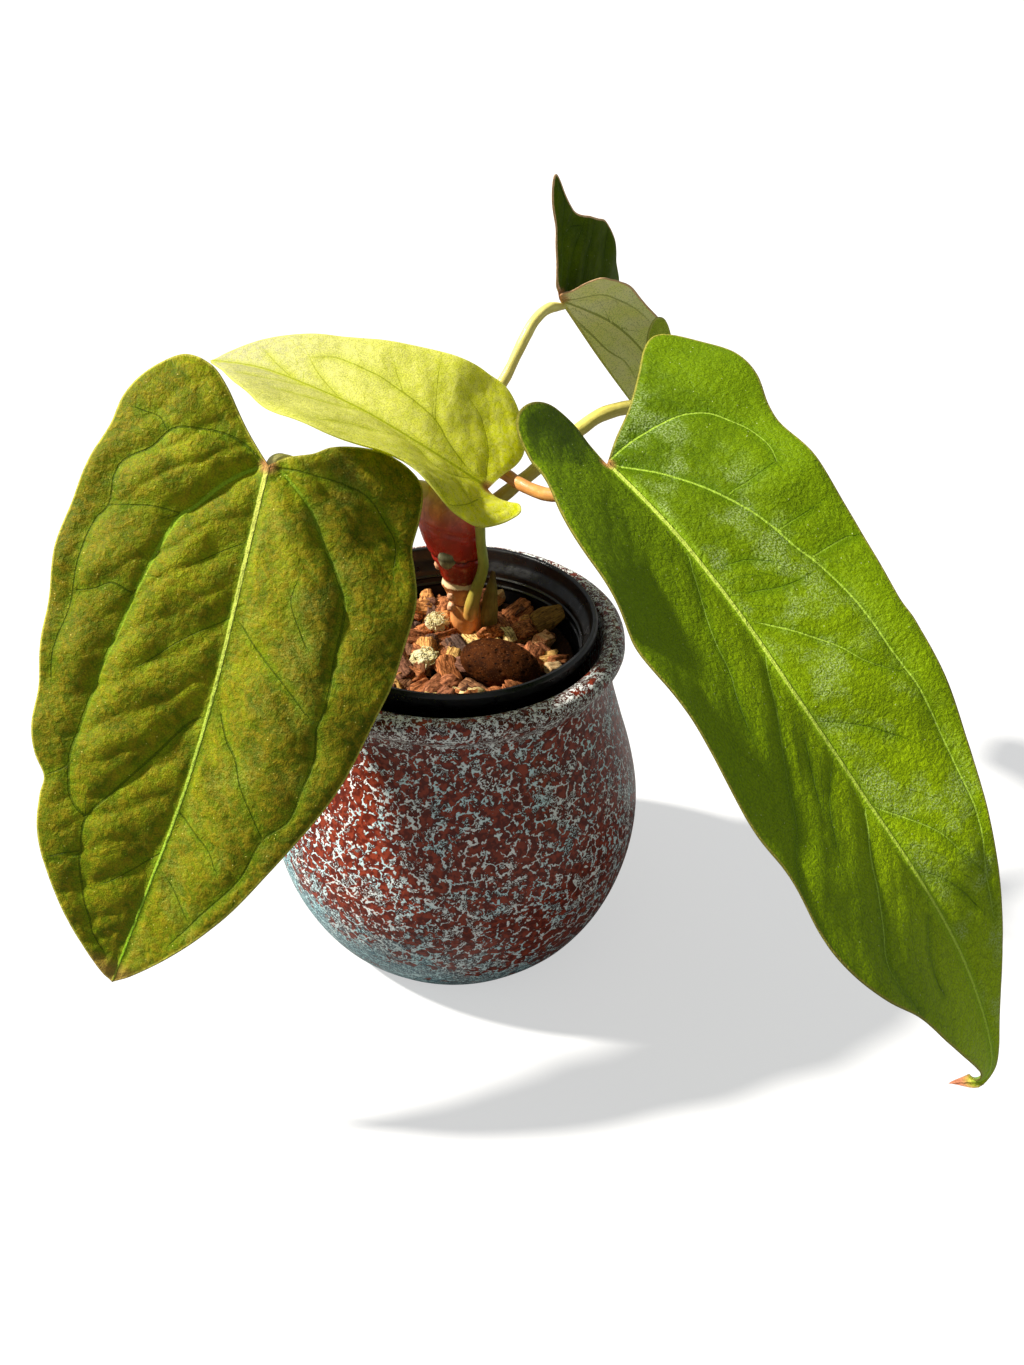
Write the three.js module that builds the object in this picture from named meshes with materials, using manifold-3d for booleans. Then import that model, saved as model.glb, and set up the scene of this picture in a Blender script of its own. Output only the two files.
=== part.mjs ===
// Potted anthurium: five heart-shaped leaves on long petioles grow from a short red stem, which stands in
// bark mix in a black nursery pot. The nursery pot stands inside a round-bellied glazed cachepot.
// Millimetres, +Z up, the pot's axis is the Z axis and its flat base is at z = 0. -Y is the front.
import * as THREE from "three";
import { ConvexGeometry } from "three/addons/geometries/ConvexGeometry.js";
import { mergeVertices } from "three/addons/utils/BufferGeometryUtils.js";
import Module from "manifold-3d";

const wasm = await Module();
wasm.setup();
const { Manifold } = wasm;

// Driving dimensions, in millimetres.
const POT_HEIGHT = 135.2;
const POT_BASE_RADIUS = 49.5;
const POT_BELLY_RADIUS = 71.9;
const POT_NECK_RADIUS = 58.7;
const POT_RIM_RADIUS = 63.8;
const POT_FLOOR = 10; // thickness of the cachepot's floor
const NURSERY_CENTRE = [1, 1.5, 0]; // the inner pot stands a little off the cachepot's axis
const NURSERY_TOP = 139.1;
const NURSERY_BASE_RADIUS = 35.6;
const NURSERY_RIM_RADIUS = 52.5;
const NURSERY_FLOOR = 1.7;
const DRAIN_HOLES = 6;
const DRAIN_HOLE_RADIUS = 3.4;
const DRAIN_RING_RADIUS = 26;
const MIX_TOP = 120.8; // mean height of the bark bed
const MIX_RADIUS = 45.2;
const MIX_CHIPS = 44; // chips that stand out of the bed's top
const BLADE_THICKNESS = 0.8;
const SEAT_ALONG = 2; // a stalk ends under its midrib this far from the sinus
const GAP = 0.3; // between pieces that touch on the real plant

const DEGREE = Math.PI / 180;
const vec = (x, y, z) => new THREE.Vector3(x, y, z);
const lerp = (a, b, f) => a + (b - a) * f;
const clamp = (x, low, high) => Math.min(high, Math.max(low, x));

const root = new THREE.Group();
root.name = "potted_anthurium";

// Curves and solids.

// The value of a uniform Catmull-Rom curve through evenly spaced values, at x between 0 and 1.
function spline(values, x) {
  const last = values.length - 1;
  if (last === 0) return values[0];
  const at = clamp(x * last, 0, last - 1e-9);
  const i = Math.floor(at);
  const f = at - i;
  const p1 = values[i];
  const p2 = values[i + 1];
  const p0 = i > 0 ? values[i - 1] : 2 * p1 - p2;
  const p3 = i + 2 <= last ? values[i + 2] : 2 * p2 - p1;
  return (
    0.5 *
    (2 * p1 + (p2 - p0) * f + (2 * p0 - 5 * p1 + 4 * p2 - p3) * f * f + (3 * p1 - p0 - 3 * p2 + p3) * f ** 3)
  );
}

// A curve through points, with its length, that gives the point at a distance from its start.
class Path {
  constructor(points) {
    const columns = [0, 1, 2].map((k) => points.map((p) => p[k] ?? 0));
    const count = (points.length - 1) * 40;
    this.dense = [];
    for (let i = 0; i <= count; i++) {
      this.dense.push(vec(...columns.map((c) => spline(c, i / count))));
    }
    this.reach = [0];
    for (let i = 1; i <= count; i++) {
      this.reach.push(this.reach[i - 1] + this.dense[i].distanceTo(this.dense[i - 1]));
    }
    this.length = this.reach[count];
  }

  at(distance) {
    const d = clamp(distance, 0, this.length);
    let i = this.reach.findIndex((r) => r >= d);
    i = Math.max(1, i);
    const f = (d - this.reach[i - 1]) / (this.reach[i] - this.reach[i - 1]);
    return this.dense[i - 1].clone().lerp(this.dense[i], f);
  }

  direction(distance) {
    const step = this.length * 0.004;
    const a = this.at(Math.max(0, distance - step));
    const b = this.at(Math.min(this.length, distance + step));
    return b.sub(a).normalize();
  }
}

function solidFrom(geometry) {
  const plain = new THREE.BufferGeometry();
  plain.setAttribute("position", geometry.getAttribute("position"));
  plain.setIndex(geometry.index);
  const merged = mergeVertices(plain, 1e-3);
  const index = merged.index.array;
  const kept = [];
  for (let i = 0; i < index.length; i += 3) {
    const [a, b, c] = [index[i], index[i + 1], index[i + 2]];
    if (a !== b && b !== c && a !== c) kept.push(a, b, c);
  }
  return new Manifold(
    new wasm.Mesh({
      numProp: 3,
      vertProperties: merged.attributes.position.array,
      triVerts: new Uint32Array(kept),
    }),
  );
}

function geometryFrom(solid) {
  const mesh = solid.getMesh();
  const geometry = new THREE.BufferGeometry();
  geometry.setAttribute("position", new THREE.BufferAttribute(new Float32Array(mesh.vertProperties), 3));
  geometry.setIndex(new THREE.BufferAttribute(new Uint32Array(mesh.triVerts), 1));
  return geometry.toNonIndexed();
}

function addPiece(name, solid, color, finish = {}) {
  const geometry = geometryFrom(solid);
  geometry.computeVertexNormals();
  const material = new THREE.MeshStandardMaterial({ color, roughness: 0.5, ...finish });
  const mesh = new THREE.Mesh(geometry, material);
  mesh.name = name;
  root.add(mesh);
  return mesh;
}

// A solid turned about the Z axis from [radius, height] points that start and end on the axis.
function turned(profile, sides) {
  const points = profile.map(([r, z]) => new THREE.Vector2(r, z));
  const lathe = new THREE.LatheGeometry(points, sides);
  lathe.rotateX(Math.PI / 2);
  const solid = solidFrom(lathe);
  return solid.volume() < 0 ? solidFrom(flipped(lathe)) : solid;
}

function flipped(geometry) {
  const copy = geometry.clone();
  const index = copy.index.array;
  for (let i = 0; i < index.length; i += 3) {
    [index[i + 1], index[i + 2]] = [index[i + 2], index[i + 1]];
  }
  return copy;
}

// A round rod along a path: radii are evenly spaced along it, flat squeezes it along the `squeeze` direction,
// grow adds to its radius, and each end is a low dome.
function rod(points, radii, shape = {}) {
  const { rings = 24, sides = 12, flat = 1, squeeze = vec(0, 1, 0), grow = 0, dome = 0.5 } = shape;
  const path = new Path(points);
  const endRadius = (x) => (spline(radii, x) + grow) * dome;
  const positions = [];
  const index = [];
  const frame = { side: null };
  const ring = (distance, scale, push) => {
    const along = path.direction(distance);
    if (!frame.side) {
      frame.side = Math.abs(along.y) > 0.9 ? vec(1, 0, 0) : vec(0, 1, 0);
    }
    frame.side.addScaledVector(along, -frame.side.dot(along)).normalize();
    const up = along.clone().cross(frame.side);
    const centre = path.at(distance).addScaledVector(along, push);
    const radius = (spline(radii, distance / path.length) + grow) * scale;
    for (let k = 0; k < sides; k++) {
      const turn = (k / sides) * 2 * Math.PI;
      const offset = frame.side
        .clone()
        .multiplyScalar(Math.cos(turn) * radius)
        .addScaledVector(up, Math.sin(turn) * radius);
      const inward = offset.dot(squeeze) * (1 - flat);
      offset.addScaledVector(squeeze, -inward);
      positions.push(...centre.clone().add(offset).toArray());
    }
  };
  const shoulder = 0.75; // the dome's ring has this share of the end's radius, and of its height
  ring(0, shoulder, -endRadius(0) * shoulder);
  for (let i = 0; i <= rings; i++) ring((i / rings) * path.length, 1, 0);
  ring(path.length, shoulder, endRadius(1) * shoulder);
  const ringCount = rings + 3;
  for (let r = 0; r < ringCount - 1; r++) {
    for (let k = 0; k < sides; k++) {
      const a = r * sides + k;
      const b = r * sides + ((k + 1) % sides);
      index.push(a, b, a + sides, b, b + sides, a + sides);
    }
  }
  const first = path.at(0).addScaledVector(path.direction(0), -endRadius(0));
  const last = path.at(path.length).addScaledVector(path.direction(path.length), endRadius(1));
  const firstAt = positions.length / 3;
  positions.push(...first.toArray(), ...last.toArray());
  for (let k = 0; k < sides; k++) {
    const next = (k + 1) % sides;
    const top = (ringCount - 1) * sides;
    index.push(firstAt, next, k, firstAt + 1, top + k, top + next);
  }
  const geometry = new THREE.BufferGeometry();
  geometry.setAttribute("position", new THREE.BufferAttribute(new Float32Array(positions), 3));
  geometry.setIndex(index);
  const solid = solidFrom(geometry);
  return solid.volume() < 0 ? solidFrom(flipped(geometry)) : solid;
}

// Turns a geometry about X, Y and Z in degrees, in that order, and moves it to a place.
function placed(geometry, [x, y, z], at) {
  geometry.rotateX(x * DEGREE);
  geometry.rotateY(y * DEGREE);
  geometry.rotateZ(z * DEGREE);
  geometry.translate(...at);
  return solidFrom(geometry);
}

function egg(centre, radii, turn = [0, 0, 0], sides = 20) {
  const sphere = new THREE.SphereGeometry(1, sides, Math.round(sides * 0.6));
  sphere.scale(...radii);
  return placed(sphere, turn, centre);
}

// The same random numbers in every build.
function seeded(seed) {
  let state = seed;
  return () => {
    state = (state * 1664525 + 1013904223) % 4294967296;
    return state / 4294967296;
  };
}

// A rough broken chip: the convex hull of nine random points near the corners of a box of the given size.
function chip(centre, size, turn, seed, grow = 0) {
  const random = seeded(seed);
  const points = [];
  for (let i = 0; i < 9; i++) {
    const sides = [i & 1, (i >> 1) & 1, (i >> 2) & 1];
    const corner = sides.map((side) => (side ? 0.5 : -0.5) * (0.62 + 0.38 * random()));
    const rough = corner.map((c, k) => (c + (random() - 0.5) * 0.2) * (size[k] + 2 * grow));
    points.push(vec(...rough));
  }
  return placed(new ConvexGeometry(points), turn, centre);
}

// The glazed cachepot and the black pot inside it.

const cachepotProfile = [
  [0, 0],
  [POT_BASE_RADIUS, 0],
  [52.4, 1.6],
  [59, 10],
  [64.9, 21],
  [69.4, 34],
  [POT_BELLY_RADIUS, 48],
  [POT_BELLY_RADIUS, 62],
  [69.2, 78],
  [64.9, 93],
  [60.8, 107],
  [POT_NECK_RADIUS, 118],
  [59.4, 124],
  [62.6, 127.8],
  [POT_RIM_RADIUS, 131],
  [62.6, 134.2],
  [59.6, POT_HEIGHT],
  [56.6, 134.2],
  [55.3, 131],
  [54.5, 125],
  [54.5, 117],
  [57.6, 103],
  [63.2, 84],
  [67.2, 64],
  [67.3, 48],
  [63.6, 30],
  [56.4, 15],
  [50, POT_FLOOR + 0.6],
  [46, POT_FLOOR],
  [0, POT_FLOOR],
];
addPiece("cachepot", turned(cachepotProfile, 48), 0x8f4a38, { roughness: 0.28 });

const NURSERY_BASE = POT_FLOOR + GAP;
const nurseryProfile = [
  [0, NURSERY_BASE],
  [NURSERY_BASE_RADIUS, NURSERY_BASE],
  [37, NURSERY_BASE + 1.2],
  [43, 76],
  [47.6, 128.6],
  [49.2, 130.2],
  [51.7, 133.4],
  [NURSERY_RIM_RADIUS, 135],
  [NURSERY_RIM_RADIUS, 138],
  [51.8, NURSERY_TOP],
  [50.6, 138.9],
  [49.9, 134.2],
  [47.2, 130.6],
  [47, 128.8],
  [46.3, 128.2],
  [46.8, 127.4],
  [46.7, 125.6],
  [46, 125],
  [46.5, 124.2],
  [46.2, 121],
  [41.7, 76],
  [35.8, 13.6],
  [34.8, NURSERY_BASE + NURSERY_FLOOR],
  [0, NURSERY_BASE + NURSERY_FLOOR],
];
let nurseryPot = turned(nurseryProfile, 40);
for (let i = 0; i < DRAIN_HOLES; i++) {
  const turn = (i / DRAIN_HOLES) * 2 * Math.PI + 0.3;
  const at = [DRAIN_RING_RADIUS * Math.cos(turn), DRAIN_RING_RADIUS * Math.sin(turn), NURSERY_BASE + 1];
  const bore = new THREE.CylinderGeometry(DRAIN_HOLE_RADIUS, DRAIN_HOLE_RADIUS, 6, 10);
  nurseryPot = nurseryPot.subtract(placed(bore, [90, 0, 0], at));
}
addPiece("nursery_pot", nurseryPot.translate(NURSERY_CENTRE), 0x151617, { roughness: 0.35 });

// A leaf lies in blade coordinates [a, b] in millimetres: b runs along the midrib from the sinus, where the
// petiole joins, to the tip, and a runs out from the midrib. The two lobes reach behind the sinus, so b is
// below 0 there. Each side has its margin from the sinus to the tip. The midrib is a curve in space. Each
// half rises from it by a fold angle, in degrees at even stations from 0.3 of the length behind the sinus
// to the tip, and goes over from `near` to `far` between the two distances `bend` from the midrib, which
// have stations of their own. A half's `sweep` bends its lobe away from the midrib's line. `wave` is the
// margin's ripple: height, pitch and phase.
const leaves = {
  a: {
    spokes: 24,
    midrib: [
      [-55, -30, 212],
      [-62, -52, 185],
      [-70, -71, 156],
      [-80, -88, 127],
      [-93, -102, 97],
      [-107, -110, 65],
    ],
    facing: [0, -0.8, 0.6],
    left: {
      margin: [
        [0, 0], [9, -9], [18, -19], [25, -24], [34, -25],
        [43, -19], [49, -11], [51, -1], [54, 10], [58, 29],
        [58, 46], [57, 62], [54, 84], [52, 98], [48, 110],
        [43, 117], [42, 124], [38, 136], [30, 149], [20, 161],
        [10, 171], [4, 176], [0, 178],
      ],
      near: [12],
      far: [-8],
      bend: [[16], [46]],
      sweep: [0, 0.01, 0],
    },
    right: {
      margin: [
        [0, 0], [5, -3], [13, -6], [19, -10], [28, -13], [37, -14], [46, -12], [51, -7], [52, 5], [52, 14],
        [54, 21], [56, 34], [55, 53], [52, 67], [49, 83], [43, 100],
        [35, 118], [27, 137], [16, 156], [6, 171], [0, 178],
      ],
      near: [14],
      far: [-26, -26, -25, -19, -18, -18, -18, -18],
      bend: [[4, 4, 6, 12, 14, 14, 14, 14], [12, 12, 18, 40, 44, 44, 44, 44]],
      sweep: [0, 0.01, 0],
    },
    wave: [1.2, 31, 0.4],
    fan: 0.36,
  },
  b: {
    spokes: 26,
    midrib: [
      [52, -20, 209],
      [71, -43, 198],
      [90, -64, 182],
      [107, -86, 165],
      [125, -102, 144],
      [143, -118, 123],
      [159, -127, 98],
      [172, -132, 68],
      [174, -133, 52],
      [166, -129, 43],
    ],
    facing: [0.52, -0.46, 0.71],
    left: {
      margin: [
        [0, 0], [1, -8], [5, -17], [13, -21], [22, -20], [31, -15], [36, -9], [38, -2], [41, 10], [49, 25],
        [54, 38], [56, 55], [57, 76], [52, 92], [51, 104], [51, 119], [49, 138], [49, 151], [47, 160],
        [41, 172], [31, 186], [22, 204], [16, 216], [10, 227], [5, 236], [3, 243], [0, 254],
      ],
      near: [5, 5, 5, 6, 3, -4],
      far: [14, 14, 14, 16, 22, 23, 22, 22, 20, 14, 10, 6, 0],
      bend: [
        [4, 4, 4, 4, 15, 27, 34, 39, 46, 56, 56, 56, 56],
        [12, 12, 12, 12, 23, 35, 42, 47, 54, 64, 64, 64, 64],
      ],
      sweep: [0.012, 0, 0.004],
    },
    right: {
      margin: [
        [0, 0], [9, -7], [21, -15], [33, -25], [43, -34],
        [50, -37], [56, -34], [62, -26], [67, -15], [67, -3],
        [62, 9], [59, 19], [58, 35], [55, 55], [52, 70],
        [50, 84], [50, 96], [47, 117], [41, 137], [33, 158],
        [25, 179], [15, 200], [7, 219], [4, 232], [3, 243], [0, 254],
      ],
      near: [20],
      sweep: [0, 0, 0],
    },
    wave: [1.1, 44, 2.1],
    fan: 0.34,
  },
  c: {
    spokes: 18,
    midrib: [
      [13, 0, 190],
      [-8, 3, 203],
      [-29, 12, 212],
      [-49, 24, 216],
      [-69, 38, 217],
      [-89, 52, 214],
    ],
    facing: [0, -0.2, 0.98],
    left: {
      margin: [
        [0, 0], [7, -2], [15, -5], [21, -5], [28, -1], [35, 5], [39, 12], [39, 21], [37, 31], [34, 44],
        [29, 58], [25, 71], [21, 85], [16, 98], [11, 108], [5, 117], [0, 122],
      ],
      near: [20],
      sweep: [0, 0, 0],
    },
    right: {
      margin: [
        [0, 0], [2, -4], [3, -9], [4, -13], [8, -14], [12, -11], [17, -7], [22, -3], [29, 5], [33, 12],
        [32, 18], [29, 24], [30, 31], [35, 38], [38, 46], [37, 55], [33, 66], [26, 80], [16, 97], [7, 111],
        [0, 122],
      ],
      near: [-30, 5, 29, 24, 22, 20],
      sweep: [0, 0, 0.03],
    },
    wave: [0.8, 27, 1],
    fan: 0.4,
  },
  d: {
    spokes: 18,
    midrib: [
      [38, 54, 239],
      [55, 77, 208],
      [75, 96, 176],
      [98, 108, 142],
    ],
    facing: [0.3, 0.3, 0.9],
    left: {
      margin: [
        [0, 0], [1, -2], [5, -2], [9, -4], [14, -7], [18, -9], [20, -8], [21, -2], [21, 5], [23, 13],
        [24, 20], [26, 33], [27, 44], [27, 60], [24, 76], [19, 92], [11, 110], [4, 122], [0, 127],
      ],
      near: [0, 15, 46, 46, 44, 42, 40, 40],
      sweep: [0, 0, 0],
    },
    right: {
      margin: [
        [0, 0], [1, -2], [2, -6], [7, -11], [11, -16],
        [14, -20], [16, -28], [19, -34], [22, -37], [24, -33],
        [25, -24], [28, -12], [33, 0], [36, 6], [40, 13],
        [41, 20], [40, 30], [41, 40], [43, 50], [44, 60],
        [44, 70], [42, 80], [36, 95], [24, 110], [10, 122],
        [0, 127],
      ],
      near: [76, 74, 77, 71, 55, 40, 32, 30],
      sweep: [0, 0.004, 0.004],
    },
    wave: [0.7, 25, 0],
    fan: 0.4,
  },
  e: {
    spokes: 18,
    midrib: [
      [74, 44, 205],
      [93, 53, 187],
      [112, 60, 167],
      [131, 66, 146],
    ],
    facing: [0.1, -0.6, 0.75],
    left: {
      margin: [
        [0, 0], [5, 2], [10, 7], [14, 15], [17, 26], [18, 40], [15, 55], [10, 70], [5, 81], [0, 88],
      ],
      near: [-30],
      sweep: [0, 0, 0],
    },
    right: {
      margin: [
        [0, 0], [5, -6], [10, -11], [15, -14], [20, -15], [25, -14], [27, -11], [26, -8], [23, -4], [20, 2],
        [19, 10], [20, 22], [20, 36], [17, 52], [12, 68], [5, 80], [0, 88],
      ],
      near: [10],
      sweep: [0, 0, 0],
    },
    wave: [0.7, 25, 2],
    fan: 0.4,
  },
};

const BEHIND = 0.3; // the fold stations start this share of the length behind the sinus

// The midrib frame at distance b: centre, along, normal and across (towards the right half).
function bladeFrame(leaf, b, sweep) {
  const inside = clamp(b, 0, leaf.path.length);
  const along = leaf.path.direction(inside);
  const centre = leaf.path.at(inside);
  const behind = Math.min(b, 0);
  centre.addScaledVector(along, behind + Math.max(0, b - leaf.path.length));
  centre.addScaledVector(sweep, behind * behind);
  along.addScaledVector(sweep, 2 * behind).normalize();
  const normal = leaf.normal.clone().addScaledVector(along, -leaf.normal.dot(along)).normalize();
  const across = normal.clone().cross(along);
  return { centre, along, normal, across };
}

// Where a straight, bent and again straight cross-section ends after the distance a.
function foldedSection(a, near, far, [from, to]) {
  const straight = Math.min(a, from);
  const bent = clamp(a - from, 0, to - from);
  const rest = Math.max(0, a - to);
  let out = straight * Math.cos(near) + rest * Math.cos(far);
  let rise = straight * Math.sin(near) + rest * Math.sin(far);
  const curve = (far - near) / (to - from);
  if (Math.abs(curve) < 1e-6) {
    out += bent * Math.cos(near);
    rise += bent * Math.sin(near);
  } else {
    out += (Math.sin(near + curve * bent) - Math.sin(near)) / curve;
    rise += (Math.cos(near) - Math.cos(near + curve * bent)) / curve;
  }
  return { out, rise, angle: near + curve * bent };
}

// The point of a blade at [a, b], moved off its middle surface by `off` along the local normal.
function bladePoint(leaf, side, sign, a, b, off) {
  const { centre, normal, across } = bladeFrame(leaf, b, side.lean);
  const station = (b / leaf.path.length + BEHIND) / (1 + BEHIND);
  const near = spline(side.near, station) * DEGREE;
  const far = spline(side.far ?? side.near, station) * DEGREE;
  const bend = (side.bend ?? [[8], [20]]).map((ends) => spline(ends, station));
  const { out, rise, angle } = foldedSection(a, near, far, bend);
  const [height, pitch, phase] = leaf.wave;
  const ripple = height * (a / side.widest) ** 2 * Math.sin((2 * Math.PI * b) / pitch + phase + sign);
  const tilt = angle * clamp(a / 3, 0, 1);
  const lift = ripple + off;
  return centre
    .addScaledVector(across, sign * (out - lift * Math.sin(tilt)))
    .addScaledVector(normal, rise + lift * Math.cos(tilt));
}

// Flat [a, b] grid of one half: spokes run from the sinus or the midrib out to the margin, the first one
// along the lobe's own inner margin.
function halfGrid(leaf, side, spokes, steps) {
  const margin = new Path(side.margin);
  let lobe = 0;
  margin.dense.forEach((p, i) => {
    if (p.y < margin.dense[lobe].y) lobe = i;
  });
  const lobeAt = margin.reach[lobe];
  const lobeEnd = margin.dense[lobe];
  const length = leaf.path.length;
  const grid = [];
  for (let i = 0; i <= spokes; i++) {
    const s = i / spokes;
    const outer = margin.at(lerp(lobeAt, margin.length, s));
    const climb = clamp((s - leaf.fan) / (1 - leaf.fan), 0, 1);
    const inner = vec(0, length * climb ** 1.15, 0);
    const hold = Math.max(0, 1 - s / 0.3) ** 2;
    const row = [];
    for (let j = 0; j <= steps; j++) {
      const t = j / steps;
      const point = inner.clone().lerp(outer, t);
      const onMargin = margin.at(lobeAt * t).sub(lobeEnd.clone().multiplyScalar(t));
      point.addScaledVector(onMargin, hold);
      const bow = 0.1 * 4 * t * (1 - t) * clamp((s - 0.12) * 4, 0, 1);
      const reach = outer.clone().sub(inner);
      point.x += reach.y * bow;
      point.y -= reach.x * bow;
      row.push([point.x, point.y]);
    }
    grid.push(row);
  }
  return grid;
}

function blade(leaf, spokes, steps) {
  const positions = [];
  const index = [];
  const half = BLADE_THICKNESS / 2;
  const halves = [
    [leaf.left, -1],
    [leaf.right, 1],
  ];
  for (const [side, sign] of halves) {
    const grid = halfGrid(leaf, side, spokes, steps);
    const start = positions.length / 3;
    for (const off of [half, -half]) {
      grid.forEach((row) => {
        row.forEach(([a, b]) => {
          positions.push(...bladePoint(leaf, side, sign, Math.max(0, a), b, off).toArray());
        });
      });
    }
    const wide = steps + 1;
    const layer = wide * (spokes + 1);
    const face = (p, q, r) => (sign > 0 ? index.push(p, q, r) : index.push(p, r, q));
    for (let i = 0; i < spokes; i++) {
      for (let j = 0; j < steps; j++) {
        const p = start + i * wide + j;
        face(p, p + 1, p + wide);
        face(p + 1, p + wide + 1, p + wide);
        face(p + layer, p + layer + wide, p + layer + 1);
        face(p + layer + 1, p + layer + wide, p + layer + wide + 1);
      }
      const edge = start + i * wide + steps;
      face(edge, edge + layer, edge + wide);
      face(edge + layer, edge + layer + wide, edge + wide);
    }
    for (let j = 0; j < steps; j++) {
      const p = start + j;
      face(p, p + layer, p + 1);
      face(p + layer, p + layer + 1, p + 1);
    }
  }
  const geometry = new THREE.BufferGeometry();
  geometry.setAttribute("position", new THREE.BufferAttribute(new Float32Array(positions), 3));
  geometry.setIndex(index);
  const solid = solidFrom(geometry);
  return solid.volume() < 0 ? solidFrom(flipped(geometry)) : solid;
}

const leafColors = { a: 0x6b6a1c, b: 0x3f7a1f, c: 0xb9c832, d: 0x5f8a33, e: 0x4d7d2a };
for (const [name, leaf] of Object.entries(leaves)) {
  leaf.path = new Path(leaf.midrib);
  leaf.normal = vec(...leaf.facing).normalize();
  for (const side of [leaf.left, leaf.right]) {
    const toTip = leaf.path.length / side.margin.at(-1)[1];
    side.margin = side.margin.map(([a, b]) => [a, b > 0 ? b * toTip : b]);
    side.lean = vec(...side.sweep);
    side.widest = Math.max(...side.margin.map(([a]) => a));
  }
  addPiece("leaf_" + name, blade(leaf, leaf.spokes, 6), leafColors[name], { roughness: 0.42 });
}

// The stem with its buds and roots, the petioles, and the sheath beside the stem.

const stemLine = [
  [5, 22, 106],
  [4.6, 21, 120],
  [4.2, 20, 131],
  [2.6, 19, 141.5],
  [2.4, 18.5, 149],
  [1.4, 18, 158],
  [0, 18, 166],
  [-1.4, 18, 175],
  [-1.6, 18, 183],
];
const stemRadii = [5.5, 6, 6.4, 5.5, 7, 9.2, 11.6, 11.8, 8.5];
const stemShape = { rings: 18, sides: 16, flat: 0.85, dome: 0.35 };
const roots = [
  [[5, 22, 112], [-4, 18, 104], [-12, 14, 90], [-16, 6, 70]],
  [[6, 22, 110], [14, 26, 100], [20, 24, 84], [22, 14, 62]],
  [[5, 21, 110], [7, 12, 98], [2, 0, 84], [-6, -12, 70]],
  [[4, 23, 110], [0, 30, 96], [4, 34, 78], [-4, 30, 58]],
];

function stemSolid(grow) {
  let solid = rod(stemLine, stemRadii, { ...stemShape, grow });
  for (const line of roots) {
    solid = solid.add(rod(line, [2.6, 2.2, 1.8, 1.2], { rings: 6, sides: 6, grow }));
  }
  const buds = [
    [[-1.6, 11.4, 157], [4, 2.8, 5]],
    [[-4.4, 17, 151], [2.6, 2.2, 2.4]],
    [[-0.4, 16, 138], [2.2, 2, 2.4]],
    [[-0.8, 17, 132.5], [2, 2, 2]],
  ];
  for (const [centre, radii] of buds) {
    solid = solid.add(egg(centre, radii.map((r) => r + grow), [0, 0, 0], 8));
  }
  return solid;
}

const stem = stemSolid(0);
const stemRoom = stemSolid(GAP);
addPiece("stem", stem, 0xa8432c, { roughness: 0.35 });

// A stalk's line starts in the stem. Its last point is `drop` below its leaf's midrib, next to the sinus.
const petioles = {
  a: {
    line: [
      [-4, 18, 175], [-8.4, 16.5, 180.4], [-13.4, 12, 184.6],
      [-24, 4, 190.3], [-37.6, -8, 198.5], [-48, -18, 207],
      [-53.4, -24.4, 211.4],
    ],
    drop: 2.34,
    radii: [3.2, 3, 2.6, 2.4, 2.3, 2.2, 2.1, 1.8],
    color: 0xd8cf7a,
  },
  b: {
    line: [
      [5, 16, 177], [9, 18.6, 184], [13.4, 18.6, 188.6],
      [18.2, 14, 189.6], [24.2, 7, 188.8], [30, 0, 189.4],
      [35, -6, 191.2], [42.6, -12, 194.3], [48.6, -16, 200.6],
    ],
    drop: 1.98,
    radii: [3, 2.6, 2.4, 2.3, 2.3, 2.3, 2.3, 2.3, 2.2, 1.9],
    color: 0xb98a3c,
  },
  c: {
    line: [
      [6.4, 15, 130], [7, 13, 136], [8.6, 12, 143], [11.2, 10.6, 153.3], [10.6, 9, 163.5], [10.4, 6, 173.5],
      [11, 3, 181.5],
    ],
    drop: 1.97,
    radii: [2.9, 2.6, 2.2, 1.9, 1.8, 1.8, 1.9, 1.8],
    color: 0x9aa84a,
  },
  d: {
    line: [
      [-3, 21, 181], [0, 25, 187], [5, 29, 195], [12, 33, 206], [18.4, 37.6, 215], [23.6, 41.4, 225],
      [28.2, 45.4, 232.6], [33.2, 50, 236],
    ],
    drop: 2.07,
    radii: [3, 2.6, 2.3, 2.2, 2.1, 2, 2, 2, 1.8],
    color: 0xd2c35c,
  },
  e: {
    line: [
      [4, 19, 168], [10.4, 21, 171.4], [16, 22, 174.9],
      [22.8, 24, 180.1], [29.6, 26, 185.1], [37.4, 30, 192],
      [45.3, 34, 197.3], [52, 37.6, 201], [58.5, 40.6, 202.2], [65, 43.6, 202.4],
    ],
    drop: 3,
    radii: [3.2, 2.9, 2.7, 2.6, 2.5, 2.5, 2.5, 2.5, 2.5, 2.4, 2],
    color: 0xc9bb52,
  },
};
for (const [name, { line, drop, radii, color }] of Object.entries(petioles)) {
  const leaf = leaves[name];
  const { centre, normal } = bladeFrame(leaf, SEAT_ALONG, leaf.left.lean);
  line.push(centre.addScaledVector(normal, -drop).toArray());
  const whole = rod(line, radii, { rings: 18, sides: 8 });
  addPiece("petiole_" + name, whole.subtract(stemRoom), color, { roughness: 0.4 });
}

const sheathShape = { rings: 12, sides: 10, flat: 0.55, squeeze: vec(0.62, 0.78, 0) };
const sheathLine = [
  [11.6, 20.5, 113],
  [12.4, 19.6, 122],
  [13.4, 18.2, 132],
  [14.4, 17.2, 141],
  [14.8, 16.8, 148],
];
const sheathRadii = [3.6, 4.2, 3.8, 2.6, 0.7];
const sheath = rod(sheathLine, sheathRadii, sheathShape).subtract(stemRoom);
const sheathRoom = rod(sheathLine, sheathRadii, { ...sheathShape, grow: GAP });
addPiece("cataphyll", sheath, 0x7d7a2e, { roughness: 0.5 });

// The bark mix and what lies on it.

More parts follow.
